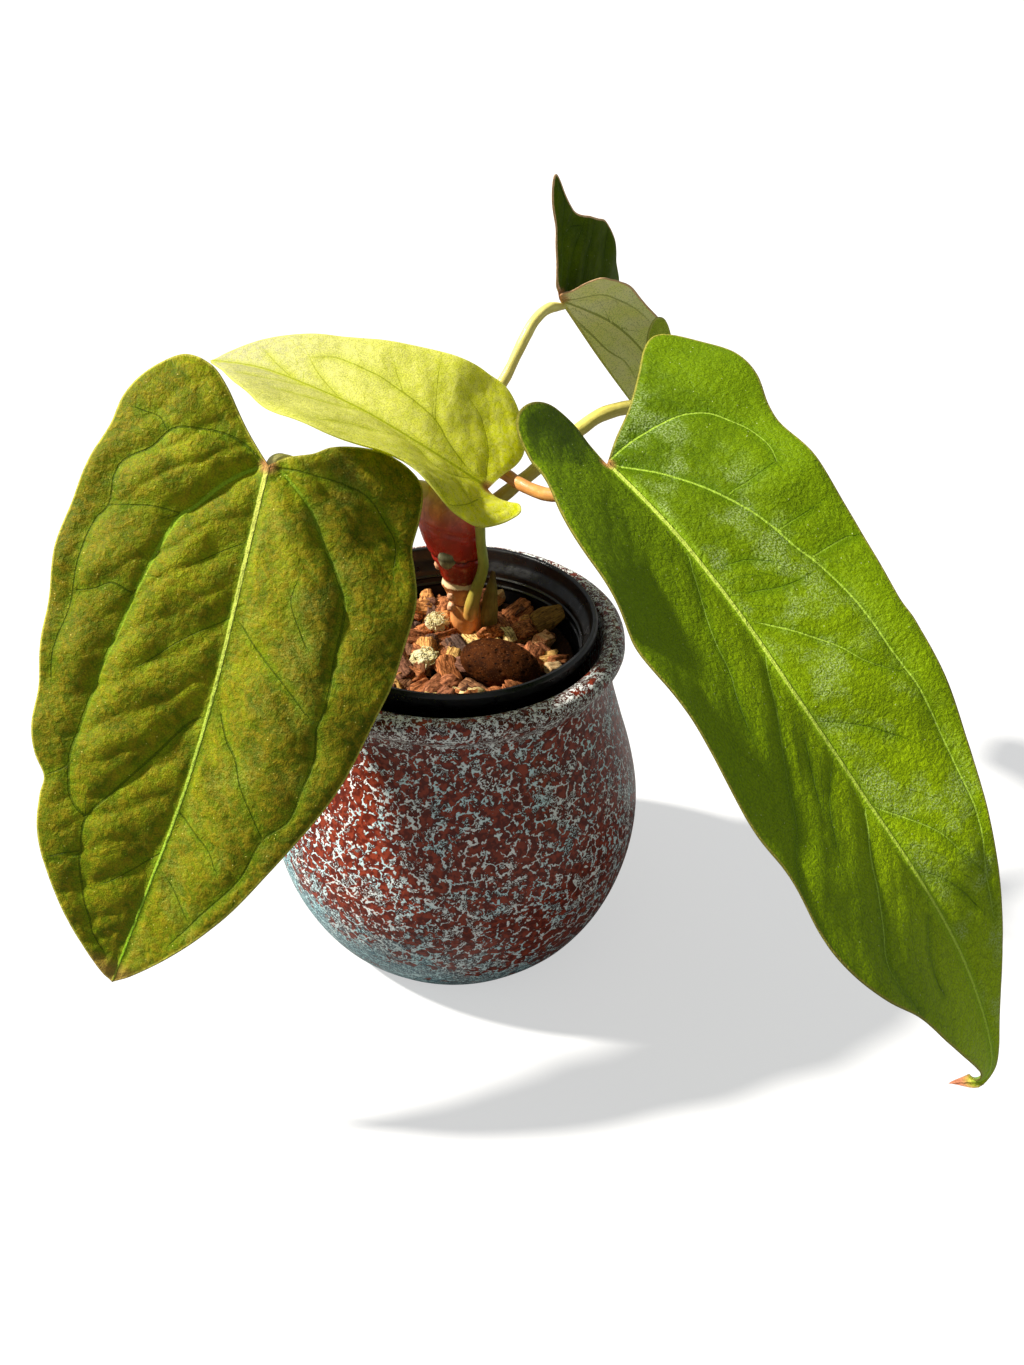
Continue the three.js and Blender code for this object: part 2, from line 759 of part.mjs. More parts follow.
const loosePieces = [
  { name: "bark_plate", at: [35.4, 20.6, 125.6], size: [14, 11, 3.4], turn: [20, -18, 24], color: 0x6f5a33 },
  { name: "husk_chip_pink", at: [34, 9, 123.4], size: [8, 6, 5], turn: [10, 8, 40], color: 0xc98f6c },
  { name: "husk_chip_tan", at: [16.4, 36.4, 125], size: [6, 4, 7], turn: [10, -10, 20], color: 0xc09a6a },
  { name: "husk_chip_rim", at: [37.4, -9.4, 123.2], size: [7.5, 5, 2.6], turn: [8, 12, 30], color: 0xbb9a6e },
  { name: "moss_tuft_back", at: [-6.6, 18.4, 124.4], size: [8, 7, 6.4], turn: [0, 12, 30], color: 0xd6c98f },
  { name: "moss_tuft_front", at: [-9.8, -7, 124.6], size: [10, 9, 6.6], turn: [8, 0, 12], color: 0xd9c48a },
];
const pebbleAt = [18, -11.5, 125.6];
const pebbleRadii = [15.4, 9.8, 8.6];
const pebble = (grow) => egg(pebbleAt, pebbleRadii.map((r) => r + grow), [0, 6, -20], 22);

const MIX_BASE = NURSERY_BASE + NURSERY_FLOOR + GAP;
const mixProfile = [
  [0, MIX_BASE],
  [34.4, MIX_BASE],
  [35.4, MIX_BASE + 1.6],
  [41.3, 76],
  [MIX_RADIUS, MIX_TOP - 1.4],
  [MIX_RADIUS - 1, MIX_TOP - 0.4],
  [0, MIX_TOP],
];
let mix = turned(mixProfile, 40).translate(NURSERY_CENTRE);
const scatter = seeded(7);
const GOLDEN_ANGLE = 2.39996;
for (let i = 0; i < MIX_CHIPS; i++) {
  const reach = (MIX_RADIUS - 7.7) * Math.sqrt((i + 0.5) / MIX_CHIPS);
  const turn = i * GOLDEN_ANGLE;
  const size = [8 + 6 * scatter(), 6 + 4 * scatter(), 4 + 3 * scatter()];
  const at = [
    NURSERY_CENTRE[0] + reach * Math.cos(turn),
    NURSERY_CENTRE[1] + reach * Math.sin(turn),
    MIX_TOP - 0.4 + 1.8 * scatter(),
  ];
  const tumble = [50 * scatter() - 25, 50 * scatter() - 25, 360 * scatter()];
  mix = mix.add(chip(at, size, tumble, 100 + i));
}
mix = mix.subtract(stemRoom).subtract(sheathRoom).subtract(pebble(GAP));
const petioleCRoom = rod(petioles.c.line, petioles.c.radii, { rings: 18, sides: 8, grow: GAP });
mix = mix.subtract(petioleCRoom);
loosePieces.forEach(({ name, at, size, turn, color }, i) => {
  mix = mix.subtract(chip(at, size, turn, 900 + i, GAP + 0.05));
  addPiece(name, chip(at, size, turn, 900 + i), color, { roughness: 0.9 });
});
const mixBodies = mix.decompose().sort((p, q) => q.volume() - p.volume());
addPiece("potting_mix", mixBodies[0], 0x5f3a25, { roughness: 0.95 });
addPiece("clay_pebble", pebble(0), 0x55382a, { roughness: 0.8 });

export default root;
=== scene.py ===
import math

import bmesh
import bpy
import numpy as np
from mathutils import Matrix, Vector


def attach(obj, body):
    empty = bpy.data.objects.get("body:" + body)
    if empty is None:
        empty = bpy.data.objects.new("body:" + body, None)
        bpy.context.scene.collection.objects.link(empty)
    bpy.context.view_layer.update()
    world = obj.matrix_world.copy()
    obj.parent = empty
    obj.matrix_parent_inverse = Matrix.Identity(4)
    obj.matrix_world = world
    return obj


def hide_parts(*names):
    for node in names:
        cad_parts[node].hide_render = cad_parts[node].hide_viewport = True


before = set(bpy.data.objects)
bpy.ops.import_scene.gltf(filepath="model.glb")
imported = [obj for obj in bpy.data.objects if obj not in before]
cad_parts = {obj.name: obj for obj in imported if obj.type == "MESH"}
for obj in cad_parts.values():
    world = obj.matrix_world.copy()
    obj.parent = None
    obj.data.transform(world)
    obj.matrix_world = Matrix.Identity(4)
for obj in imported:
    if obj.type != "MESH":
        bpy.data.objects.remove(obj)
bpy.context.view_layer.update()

MM = 0.001
BODY = "root"


# Arrays and curves, all in millimetres.

def unit(v):
    """v divided by its length; a vector of no length stays nothing."""
    return v / np.maximum(np.linalg.norm(v, axis=-1, keepdims=True), 1e-3)


def step(x, low, high):
    """Smooth step: 0 below low, 1 above high, 3f^2 - 2f^3 between."""
    f = np.clip((x - low) / (high - low), 0, 1)
    return f * f * (3 - 2 * f)


def spline(values, x):
    """Uniform Catmull-Rom curve through evenly spaced values, read at x from 0 to 1."""
    values = np.asarray(values, float)
    x = np.asarray(x, float)
    last = len(values) - 1
    if last == 0:
        return np.broadcast_to(values[0], x.shape + values.shape[1:]).copy()
    at = np.clip(x * last, 0, last - 1e-9)
    i = np.floor(at).astype(int)
    f = at - i
    if values.ndim > 1:
        f = f[..., None]
    held = np.concatenate([[2 * values[0] - values[1]], values, [2 * values[-1] - values[-2]]])
    p0, p1, p2, p3 = (held[i + k] for k in range(4))
    bend = (2 * p0 - 5 * p1 + 4 * p2 - p3) * f**2 + (3 * p1 - p0 - 3 * p2 + p3) * f**3
    return 0.5 * (2 * p1 + (p2 - p0) * f + bend)


class Path:
    """A curve through points, read by the distance from its start."""

    def __init__(self, points):
        count = (len(points) - 1) * 40
        self.dense = spline(points, np.linspace(0, 1, count + 1))
        steps = np.linalg.norm(np.diff(self.dense, axis=0), axis=1)
        self.reach = np.concatenate([[0], np.cumsum(steps)])
        self.length = self.reach[-1]

    def at(self, distance):
        """The points at these distances."""
        d = np.clip(distance, 0, self.length)
        return np.stack([np.interp(d, self.reach, column) for column in self.dense.T], -1)

    def direction(self, distance):
        """From just before each distance to just after it, a hundredth of the length each way."""
        gap = self.length * 0.01
        ahead = self.at(np.minimum(self.length, distance + gap))
        return unit(ahead - self.at(np.maximum(0, distance - gap)))


def lumps(points, seed):
    """Smooth random field from -1 to 1: random values on a unit lattice, blended with f^2 (3 - 2f)
    weights."""
    points = np.asarray(points, float)
    corner = np.floor(points).astype(np.int64)
    f = points - corner
    weight = f * f * (3 - 2 * f)
    table = np.random.default_rng(seed).uniform(-1, 1, 4096)
    total = np.zeros(points.shape[:-1])
    for move in np.ndindex(2, 2, 2):
        x, y, z = (corner[..., k] + move[k] for k in range(3))
        place = (x * 73856093 ^ y * 19349663 ^ z * 83492791) & 4095
        share = np.prod([weight[..., k] if move[k] else 1 - weight[..., k] for k in range(3)], axis=0)
        total += table[place] * share
    return total


def rough(points, size, seed, layers=3):
    """Sum of layers of the random field, each of half the size and half the height of the one before."""
    points = np.asarray(points, float)
    total = 0
    for k in range(layers):
        total = total + lumps(points * 2**k / size + 17.3 * k, seed + k) / 2**k
    return total


def nearest(points, line):
    """Distance from each [a, b] point to a broken line, how far along the line it is, from 0 to 1, and
    which side of the line it is on, 1 or -1."""
    line = np.asarray(line, float)
    start = line[:-1]
    leg = np.diff(line, axis=0)
    size = np.maximum((leg**2).sum(1), 1e-9)
    gap = points[..., None, :] - start
    t = np.clip((gap * leg).sum(-1) / size, 0, 1)
    off = np.linalg.norm(gap - t[..., None] * leg, axis=-1)
    best = off.argmin(-1)
    along = (best + np.take_along_axis(t, best[..., None], -1)[..., 0]) / len(leg)
    turn = leg[:, 0] * gap[..., 1] - leg[:, 1] * gap[..., 0]
    side = np.where(np.take_along_axis(turn, best[..., None], -1)[..., 0] < 0, -1.0, 1.0)
    return off.min(-1), along, side


def quads(rows, columns, start=0, round_columns=False):
    """Faces of a grid of rows x columns vertices, joined back on itself where its columns are round."""
    r = np.arange(rows - 1)
    c = np.arange(columns if round_columns else columns - 1)
    r, c = np.meshgrid(r, c, indexing="ij")
    next_r = r + 1
    next_c = (c + 1) % columns
    faces = [r * columns + c, r * columns + next_c, next_r * columns + next_c, next_r * columns + c]
    return np.stack(faces, -1).reshape(-1, 4) + start


# Blender objects.

def new_mesh(name, verts, faces, fields=None):
    """A mesh in metres from arrays in millimetres: doubles merged, so poles and seams close, faces
    outwards."""
    mesh = bpy.data.meshes.new(name)
    verts = np.asarray(verts, float).reshape(-1, 3) * MM
    mesh.vertices.add(len(verts))
    mesh.vertices.foreach_set("co", verts.astype(np.float32).ravel())
    mesh.loops.add(faces.size)
    mesh.loops.foreach_set("vertex_index", faces.astype(np.int32).ravel())
    mesh.polygons.add(len(faces))
    mesh.polygons.foreach_set("loop_start", np.arange(0, faces.size, 4, dtype=np.int32))
    mesh.update(calc_edges=True)
    for key, values in (fields or {}).items():
        values = np.asarray(values, np.float32)
        kind = "FLOAT_VECTOR" if values.ndim == 2 else "FLOAT"
        layer = mesh.attributes.new(key, kind, "POINT")
        layer.data.foreach_set("vector" if values.ndim == 2 else "value", values.ravel())
    work = bmesh.new()
    work.from_mesh(mesh)
    bmesh.ops.remove_doubles(work, verts=work.verts, dist=2e-6)
    bmesh.ops.dissolve_degenerate(work, edges=work.edges, dist=1e-7)
    bmesh.ops.recalc_face_normals(work, faces=work.faces)
    work.to_mesh(mesh)
    work.free()
    mesh.polygons.foreach_set("use_smooth", np.ones(len(mesh.polygons), bool))
    return mesh


def add_piece(name, mesh, material, nodes):
    """An object at the origin that rides on the part's one body and stands for CAD nodes."""
    piece = bpy.data.objects.new(name, mesh)
    bpy.context.scene.collection.objects.link(piece)
    mesh.materials.append(material)
    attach(piece, BODY)
    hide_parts(*nodes)
    return piece


def tone(red, green, blue):
    """A colour as seen on screen, 0 to 255, made linear."""
    dark_end = 10 / 255
    shares = [value / 255 for value in (red, green, blue)]
    return (*(s / 12.92 if s < dark_end else ((s + 0.055) / 1.055) ** 2.4 for s in shares), 1)


class Nodes:
    """Short ways to add nodes to a tree. Places are in millimetres."""

    def __init__(self, tree):
        self.tree = tree

    def add(self, kind, **settings):
        """A new node of a kind, with its settings."""
        node = self.tree.nodes.new(kind)
        for key, value in settings.items():
            setattr(node, key, value)
        return node

    def put(self, socket, value):
        """Links another socket to this one, or sets this one to a value."""
        if isinstance(value, bpy.types.NodeSocket):
            self.tree.links.new(value, socket)
        else:
            socket.default_value = value

    def maths(self, operation, first, second=0.0, clamp=False):
        """The operation on one or two numbers; clamp keeps the result from 0 to 1."""
        node = self.add("ShaderNodeMath", operation=operation, use_clamp=clamp)
        self.put(node.inputs[0], first)
        self.put(node.inputs[1], second)
        return node.outputs[0]

    def product(self, first, *others):
        """All values multiplied."""
        for other in others:
            first = self.maths("MULTIPLY", first, other)
        return first

    def total(self, *parts):
        """The sum of values, each times its weight."""
        result = self.maths("MULTIPLY", *parts[0])
        for part in parts[1:]:
            result = self.maths("ADD", result, self.maths("MULTIPLY", *part))
        return result

    def swing(self, value, reach):
        """A value from 0 to 1, made to swing by half the reach to each side of nothing."""
        return self.maths("MULTIPLY", self.maths("SUBTRACT", value, 0.5), reach)

    def smooth(self, value, low, high, out_low=0.0, out_high=1.0):
        """out_low up to low, out_high from high on, by the smooth step between."""
        node = self.add("ShaderNodeMapRange", interpolation_type="SMOOTHSTEP")
        for socket, given in zip(node.inputs, (value, low, high, out_low, out_high)):
            self.put(socket, given)
        return node.outputs[0]

    def fade(self, value, low, high):
        """1 below low, 0 above high, smooth between."""
        return self.smooth(value, low, high, 1.0, 0.0)

    def vectors(self, operation, first, second):
        """The operation on two vectors, or for SCALE on a vector and a number."""
        node = self.add("ShaderNodeVectorMath", operation=operation)
        self.put(node.inputs[0], first)
        self.put(node.inputs["Scale"] if operation == "SCALE" else node.inputs[1], second)
        return node.outputs[0]

    def parts(self, vector):
        """The x, y and z of a vector or the channels of a colour."""
        node = self.add("ShaderNodeSeparateXYZ")
        self.put(node.inputs[0], vector)
        return node.outputs

    def together(self, x, y, z):
        """The vector of x, y and z."""
        node = self.add("ShaderNodeCombineXYZ")
        for socket, value in zip(node.inputs, (x, y, z)):
            self.put(socket, value)
        return node.outputs[0]

    def mix(self, share, first, second, blend="MIX"):
        """The first colour where the share is 0, the second blended in where it is 1."""
        node = self.add("ShaderNodeMix", data_type="RGBA", blend_type=blend)
        self.put(node.inputs[0], share)
        self.put(node.inputs[6], first)
        self.put(node.inputs[7], second)
        return node.outputs[2]

    def lay(self, colour, mask, share, shade):
        """A shade laid over a colour where the mask is, by a share of it."""
        return self.mix(self.maths("MULTIPLY", mask, share), colour, shade)

    def ramp(self, value, stops):
        """The colour at a value, straight between stops of a place and a colour."""
        node = self.add("ShaderNodeValToRGB")
        band = node.color_ramp.elements
        while len(band) < len(stops):
            band.new(0.5)
        for element, (place, colour) in zip(band, sorted(stops)):
            element.position = place
            element.color = colour
        self.put(node.inputs[0], value)
        return node.outputs[0]

    def scale_for(self, size):
        """The pattern scale that gives features of this size."""
        if isinstance(size, bpy.types.NodeSocket):
            return self.maths("DIVIDE", 1.0, size)
        return 1 / size

    def noise(self, place, size, detail=2.0, roughness=0.5, bend=0.0):
        """Layered noise with features of a size."""
        node = self.add("ShaderNodeTexNoise")
        self.put(node.inputs["Vector"], place)
        self.put(node.inputs["Scale"], self.scale_for(size))
        self.put(node.inputs["Detail"], detail)
        self.put(node.inputs["Roughness"], roughness)
        self.put(node.inputs["Distortion"], bend)
        return node.outputs

    def cloud(self, place, size, *rest):
        """Noise as one value from 0 to 1."""
        return self.noise(place, size, *rest)["Fac"]

    def wandering(self, place, size, detail, roughness, reach):
        """A place moved about by noise, by up to half the reach each way."""
        colour = self.noise(place, size, detail, roughness)["Color"]
        shift = self.vectors("SCALE", self.vectors("SUBTRACT", colour, (0.5, 0.5, 0.5)), reach)
        return self.vectors("ADD", place, shift)

    def cells(self, place, size, feature="F1"):
        """Random cells of a size, and how far off each one is."""
        node = self.add("ShaderNodeTexVoronoi", feature=feature)
        self.put(node.inputs["Vector"], place)
        self.put(node.inputs["Scale"], self.scale_for(size))
        return node.outputs

    def dots(self, place, size, rim, pick, channel):
        """Round dots, one in each cell whose random colour has its channel above `pick`; `rim` is where a dot
        fades out."""
        cell = self.cells(place, size)
        picked = self.smooth(self.parts(cell["Color"])[channel], *pick)
        return self.product(self.fade(cell["Distance"], *rim), picked)

    def field(self, name):
        """The outputs of a mesh's own attribute."""
        return self.add("ShaderNodeAttribute", attribute_name=name).outputs

    def own_place(self):
        """Object coordinates in millimetres."""
        return self.vectors("SCALE", self.add("ShaderNodeTexCoord").outputs["Object"], 1000.0)

    def group(self, tree, **given):
        """The outputs of a shared effect, with its inputs given by name."""
        node = self.add("ShaderNodeGroup")
        node.node_tree = tree
        for key, value in given.items():
            self.put(node.inputs[key.replace("_", " ")], value)
        return node.outputs

    def bump(self, height, distance):
        """The normal of a height times a distance in millimetres."""
        node = self.add("ShaderNodeBump")
        self.put(node.inputs["Height"], height)
        self.put(node.inputs["Distance"], distance * MM)
        self.put(node.inputs["Strength"], 1.0)
        return node.outputs[0]

    def blend(self, share, first, second):
        """Two shaders mixed."""
        node = self.add("ShaderNodeMixShader")
        for socket, value in zip(node.inputs, (share, first, second)):
            self.put(socket, value)
        return node.outputs[0]

    def give(self, results):
        """Ends an effect: makes its named number outputs and links them."""
        for key in results:
            self.tree.interface.new_socket(key, in_out="OUTPUT", socket_type="NodeSocketFloat")
        out = self.add("NodeGroupOutput").inputs
        for key, value in results.items():
            self.put(out[key], value)
        return self.tree


def effect(name, inputs):
    """A node group with named number inputs; a name that ends in Place is a vector. Nodes.give ends it."""
    tree = bpy.data.node_groups.new(name, "ShaderNodeTree")
    for key, value in inputs.items():
        kind = "NodeSocketVector" if key.endswith("Place") else "NodeSocketFloat"
        socket = tree.interface.new_socket(key, in_out="INPUT", socket_type=kind)
        if kind == "NodeSocketFloat":
            socket.default_value = value
    n = Nodes(tree)
    return n, n.add("NodeGroupInput").outputs


def new_material(name, **constants):
    """A material with a Principled surface; the constants are set on its sockets."""
    material = bpy.data.materials.new(name)
    material.use_nodes = True
    material.node_tree.nodes.clear()
    n = Nodes(material.node_tree)
    surface = n.add("ShaderNodeBsdfPrincipled")
    for key, value in constants.items():
        surface.inputs[key.replace("_", " ")].default_value = value
    output = n.add("ShaderNodeOutputMaterial")
    n.put(output.inputs[0], surface.outputs[0])
    return material, n, surface, output


def dress(n, surface, colour, roughness, normal):
    """Gives a Principled surface its colour, roughness and normal."""
    n.put(surface.inputs["Base Color"], colour)
    n.put(surface.inputs["Roughness"], roughness)
    n.put(surface.inputs["Normal"], normal)


# Leaves. A leaf lies in blade coordinates [a, b]: b runs along the midrib from the sinus to the tip, a runs
# out from the midrib. Veins are broken lines in the same coordinates, each with how deep it lies in the
# blade.

BLADE_THICKNESS = 0.8
BEHIND = 0.3  # the fold stations start this share of the length behind the sinus

leaves = {
    "a": dict(
        midrib=[
            [-55, -30, 212], [-62, -52, 185], [-70, -71, 156], [-80, -88, 127], [-93, -102, 97],
            [-107, -110, 65]],
        facing=[0, -0.8, 0.6], wave=[1.2, 31, 0.4], fan=0.36, grid=(260, 60), swell=(0.5, 9), valley=4.2,
        quilt=(0.8, 13, 0.85),
        left=dict(
            margin=[
                [0, 0], [9, -9], [18, -19], [25, -24], [34, -25], [43, -19], [49, -11], [51, -1], [54, 10],
                [58, 29], [58, 46], [57, 62], [54, 84], [52, 98], [48, 110], [43, 117], [42, 124], [38, 136],
                [30, 149], [20, 161], [10, 171], [4, 176], [0, 178]],
            near=[12], far=[-8], bend=[[16], [46]], sweep=[0, 0.01, 0],
            veins=[
                (1.3, [
                    [1, 0], [7, -4], [14, -6], [22, -6], [31, -4], [36, 3], [43, 8], [45, 13], [45, 23],
                    [49, 30], [50, 44], [50, 57], [51, 72], [50, 83]]),
                (2.9, [
                    [1, 0], [7, 4], [13, 10], [19, 18], [23, 22], [26, 30], [29, 41], [31, 49], [33, 60],
                    [35, 71], [36, 81], [37, 94], [37, 107], [34, 118], [31, 122], [26, 125]]),
                (0.6, [[23, 21], [31, 21], [38, 22], [44, 23]]),
                (0.7, [[31, 49], [38, 47], [43, 50], [49, 52]]),
                (0.5, [[33, -4], [36, -7], [43, -8]]),
                (1.5, [
                    [2, 82], [6, 86], [12, 97], [17, 106], [22, 116], [26, 125], [24, 135], [22, 142],
                    [19, 149], [15, 156], [11, 163], [7, 167]]),
                (0.6, [[24, 136], [28, 138], [32, 141]]),
                (0.7, [[0, 127], [4, 132], [7, 136], [13, 143]]),
                (0.5, [[2, 26], [8, 30], [13, 34]]),
                (0.6, [[0, 49], [13, 59], [24, 71]]),
                (0.9, [[36, 109], [39, 113], [42, 116]])]),
        right=dict(
            margin=[
                [0, 0], [5, -3], [13, -6], [19, -10], [28, -13], [37, -14], [46, -12], [51, -7], [52, 5],
                [52, 14], [54, 21], [56, 34], [55, 53], [52, 67], [49, 83], [43, 100], [35, 118], [27, 137],
                [16, 156], [6, 171], [0, 178]],
            near=[14], far=[-26, -26, -25, -19, -18, -18, -18, -18], sweep=[0, 0.01, 0],
            bend=[[4, 4, 6, 12, 14, 14, 14, 14], [12, 12, 18, 40, 44, 44, 44, 44]],
            veins=[
                (0.9, [[2, 0], [9, 0], [18, 0], [26, 0], [34, 2], [42, 9], [46, 14], [47, 22]]),
                (2.4, [
                    [3, 0], [10, 5], [17, 11], [23, 20], [28, 27], [34, 37], [35, 44], [35, 54], [36, 66],
                    [35, 76]]),
                (1.4, [[35, 76], [37, 84], [36, 93], [35, 103], [29, 111], [27, 124], [20, 139], [14, 153]]),
                (0.8, [[4, 51], [12, 58], [22, 65], [31, 72]]),
                (0.9, [[4, 79], [8, 86], [13, 91], [16, 96], [20, 101], [29, 110]]),
                (0.7, [[1, 113], [9, 117], [15, 120], [19, 124]]),
                (0.6, [[6, 135], [10, 138], [16, 143]]),
                (0.6, [[18, 35], [18, 41], [23, 49], [26, 53]])]),
    ),
    "b": dict(
        midrib=[
            [52, -20, 209], [71, -43, 198], [90, -64, 182], [107, -86, 165], [125, -102, 144],
            [143, -118, 123], [159, -127, 98], [172, -132, 68], [174, -133, 52], [166, -129, 43]],
        facing=[0.52, -0.46, 0.71], wave=[1.1, 44, 2.1], fan=0.34, grid=(300, 60), swell=(0.32, 13),
        valley=4.0, quilt=(0.22, 12, 1.0),
        left=dict(
            margin=[
                [0, 0], [1, -8], [5, -17], [13, -21], [22, -20], [31, -15], [36, -9], [38, -2], [41, 10],
                [49, 25], [54, 38], [56, 55], [57, 76], [52, 92], [51, 104], [51, 119], [49, 138],
                [49, 151], [47, 160], [41, 172], [31, 186], [22, 204], [16, 216], [10, 227], [5, 236],
                [3, 243], [0, 254]],
            near=[5, 5, 5, 6, 3, -4], far=[14, 14, 14, 16, 22, 23, 22, 22, 20, 14, 10, 6, 0],
            sweep=[0.012, 0, 0.004],
            bend=[
                [4, 4, 4, 4, 15, 27, 34, 39, 46, 56, 56, 56, 56],
                [12, 12, 12, 12, 23, 35, 42, 47, 54, 64, 64, 64, 64]],
            veins=[
                (0.6, [[2, 42], [16, 67], [20, 82], [24, 89], [28, 98]]),
                (0.6, [
                    [1, 81], [10, 95], [20, 107], [27, 116], [35, 126], [43, 133], [48, 140], [49, 147],
                    [48, 154], [47, 160], [46, 166]]),
                (0.4, [[8, 108], [14, 116], [19, 124]]),
                (0.5, [[6, 120], [17, 128], [24, 137]]),
                (0.9, [[3, 136], [7, 141], [13, 147], [19, 155], [25, 161], [32, 167], [33, 173], [30, 186]]),
                (0.6, [[6, 172], [13, 178], [16, 186], [16, 191]])]),
        right=dict(
            margin=[
                [0, 0], [9, -7], [21, -15], [33, -25], [43, -34], [50, -37], [56, -34], [62, -26], [67, -15],
                [67, -3], [62, 9], [59, 19], [58, 35], [55, 55], [52, 70], [50, 84], [50, 96], [47, 117],
                [41, 137], [33, 158], [25, 179], [15, 200], [7, 219], [4, 232], [3, 243], [0, 254]],
            near=[20], sweep=[0, 0, 0],
            veins=[
                (1.1, [
                    [1, -1], [9, -3], [18, -4], [27, -4], [35, -3], [42, 1], [46, 7], [49, 14], [49, 23],
                    [46, 30]]),
                (1.4, [
                    [2, 1], [7, 6], [13, 13], [18, 21], [22, 29], [26, 38], [29, 48], [31, 57], [34, 65],
                    [36, 74], [37, 85], [37, 98], [37, 113], [36, 123], [34, 134], [32, 144], [30, 154],
                    [27, 163], [21, 176], [17, 188]]),
                (0.6, [[26, 31], [34, 31], [45, 30]]),
                (0.6, [[30, 50], [43, 50]]),
                (0.6, [[33, 62], [47, 62], [51, 63]]),
                (0.9, [[5, 72], [14, 80], [22, 89], [27, 99], [35, 109]]),
                (0.5, [[7, 51], [14, 53], [20, 57]]),
                (0.5, [[8, 62], [17, 65], [25, 66]]),
                (0.6, [[1, 106], [8, 111], [15, 117], [21, 124]]),
                (0.9, [[0, 135], [4, 140], [9, 146], [15, 155], [18, 166], [21, 174]]),
                (0.6, [[1, 159], [7, 166], [11, 174], [13, 181]])]),
    ),
    "c": dict(
        midrib=[[13, 0, 190], [-8, 3, 203], [-29, 12, 212], [-49, 24, 216], [-69, 38, 217], [-89, 52, 214]],
        facing=[0, -0.2, 0.98], wave=[0.8, 27, 1], fan=0.4, grid=(160, 48), swell=(0.3, 8), valley=2.4,
        quilt=(0.3, 9, 0.9),
        left=dict(
            margin=[
                [0, 0], [7, -2], [15, -5], [21, -5], [28, -1], [35, 5], [39, 12], [39, 21], [37, 31],
                [34, 44], [29, 58], [25, 71], [21, 85], [16, 98], [11, 108], [5, 117], [0, 122]],
            near=[20], sweep=[0, 0, 0],
            veins=[
                (0.9, [
                    [3, 10], [7, 19], [11, 26], [13, 35], [14, 44], [15, 52], [15, 63], [15, 72], [12, 79]]),
                (0.6, [[3, 2], [13, 6], [22, 13], [26, 21]]),
                (0.5, [[12, 28], [20, 33], [29, 38]]),
                (0.5, [[14, 43], [20, 50]]),
                (0.4, [[1, 61], [6, 73], [10, 80]]),
                (0.4, [[1, 82], [4, 91], [7, 98]])]),
        right=dict(
            margin=[
                [0, 0], [2, -4], [3, -9], [4, -13], [8, -14], [12, -11], [17, -7], [22, -3], [29, 5],
                [33, 12], [32, 18], [29, 24], [30, 31], [35, 38], [38, 46], [37, 55], [33, 66], [26, 80],
                [16, 97], [7, 111], [0, 122]],
            near=[-30, 5, 29, 24, 22, 20], sweep=[0, 0, 0.03],
            veins=[
                (0.7, [[1, 7], [10, 16], [10, 21], [5, 26], [4, 33]]),
                (0.7, [[10, 2], [22, 7], [31, 12], [29, 16]]),
                (0.5, [[14, 40], [19, 45], [28, 50]]),
                (0.4, [[6, 13], [13, 9], [16, 3]]),
                (0.4, [[1, 52], [9, 62], [15, 75]]),
                (0.4, [[1, 75], [7, 84], [11, 94]])]),
    ),
    "d": dict(
        midrib=[[38, 54, 239], [55, 77, 208], [75, 96, 176], [98, 108, 142]],
        facing=[0.3, 0.3, 0.9], wave=[0.7, 25, 0], fan=0.4, grid=(170, 52), swell=(0.3, 9), valley=2.8,
        quilt=(0.25, 10, 0.8),
        left=dict(
            margin=[
                [0, 0], [1, -2], [5, -2], [9, -4], [14, -7], [18, -9], [20, -8], [21, -2], [21, 5], [23, 13],
                [24, 20], [26, 33], [27, 44], [27, 60], [24, 76], [19, 92], [11, 110], [4, 122], [0, 127]],
            near=[0, 15, 46, 46, 44, 42, 40, 40], sweep=[0, 0, 0],
            veins=[
                (0.8, [[1, 1], [7, 3], [12, 6], [16, 13], [20, 21], [22, 28], [23, 35], [24, 50], [22, 66]]),
                (1.4, [[1, 2], [4, 8], [7, 15], [11, 24], [13, 32], [15, 44], [15, 56], [13, 70]]),
                (0.5, [[13, 29], [18, 33], [22, 36]]),
                (0.5, [[16, 13], [12, 19], [11, 23]]),
                (0.9, [[0, 9], [2, 25], [4, 38], [7, 48], [7, 59], [5, 72]])]),
        right=dict(
            margin=[
                [0, 0], [1, -2], [2, -6], [7, -11], [11, -16], [14, -20], [16, -28], [19, -34], [22, -37],
                [24, -33], [25, -24], [28, -12], [33, 0], [36, 6], [40, 13], [41, 20], [40, 30], [41, 40],
                [43, 50], [44, 60], [44, 70], [42, 80], [36, 95], [24, 110], [10, 122], [0, 127]],
            near=[76, 74, 77, 71, 55, 40, 32, 30], sweep=[0, 0.004, 0.004],
            veins=[
                (0.8, [[2, -2], [9, -7], [15, -12], [22, -11], [26, -6]]),
                (0.6, [[15, -13], [19, -18], [23, -24], [23, -32]]),
                (0.7, [[3, 3], [11, -1], [17, -3], [25, -3]]),
                (0.8, [[2, 10], [10, 11], [20, 7], [29, 5]]),
                (0.8, [[2, 24], [10, 26], [19, 25], [28, 21], [36, 19]]),
                (0.7, [[1, 40], [12, 48], [24, 54], [34, 56]]),
                (0.6, [[1, 62], [10, 72], [22, 80]])]),
    ),
    "e": dict(
        midrib=[[74, 44, 205], [93, 53, 187], [112, 60, 167], [131, 66, 146]],
        facing=[0.1, -0.6, 0.75], wave=[0.7, 25, 2], fan=0.4, grid=(110, 34), swell=(0.25, 8), valley=2.6,
        quilt=(0.2, 9, 0.8),
        left=dict(
            margin=[
                [0, 0], [5, 2], [10, 7], [14, 15], [17, 26], [18, 40], [15, 55], [10, 70], [5, 81], [0, 88]],
            near=[-30], sweep=[0, 0, 0],
            veins=[
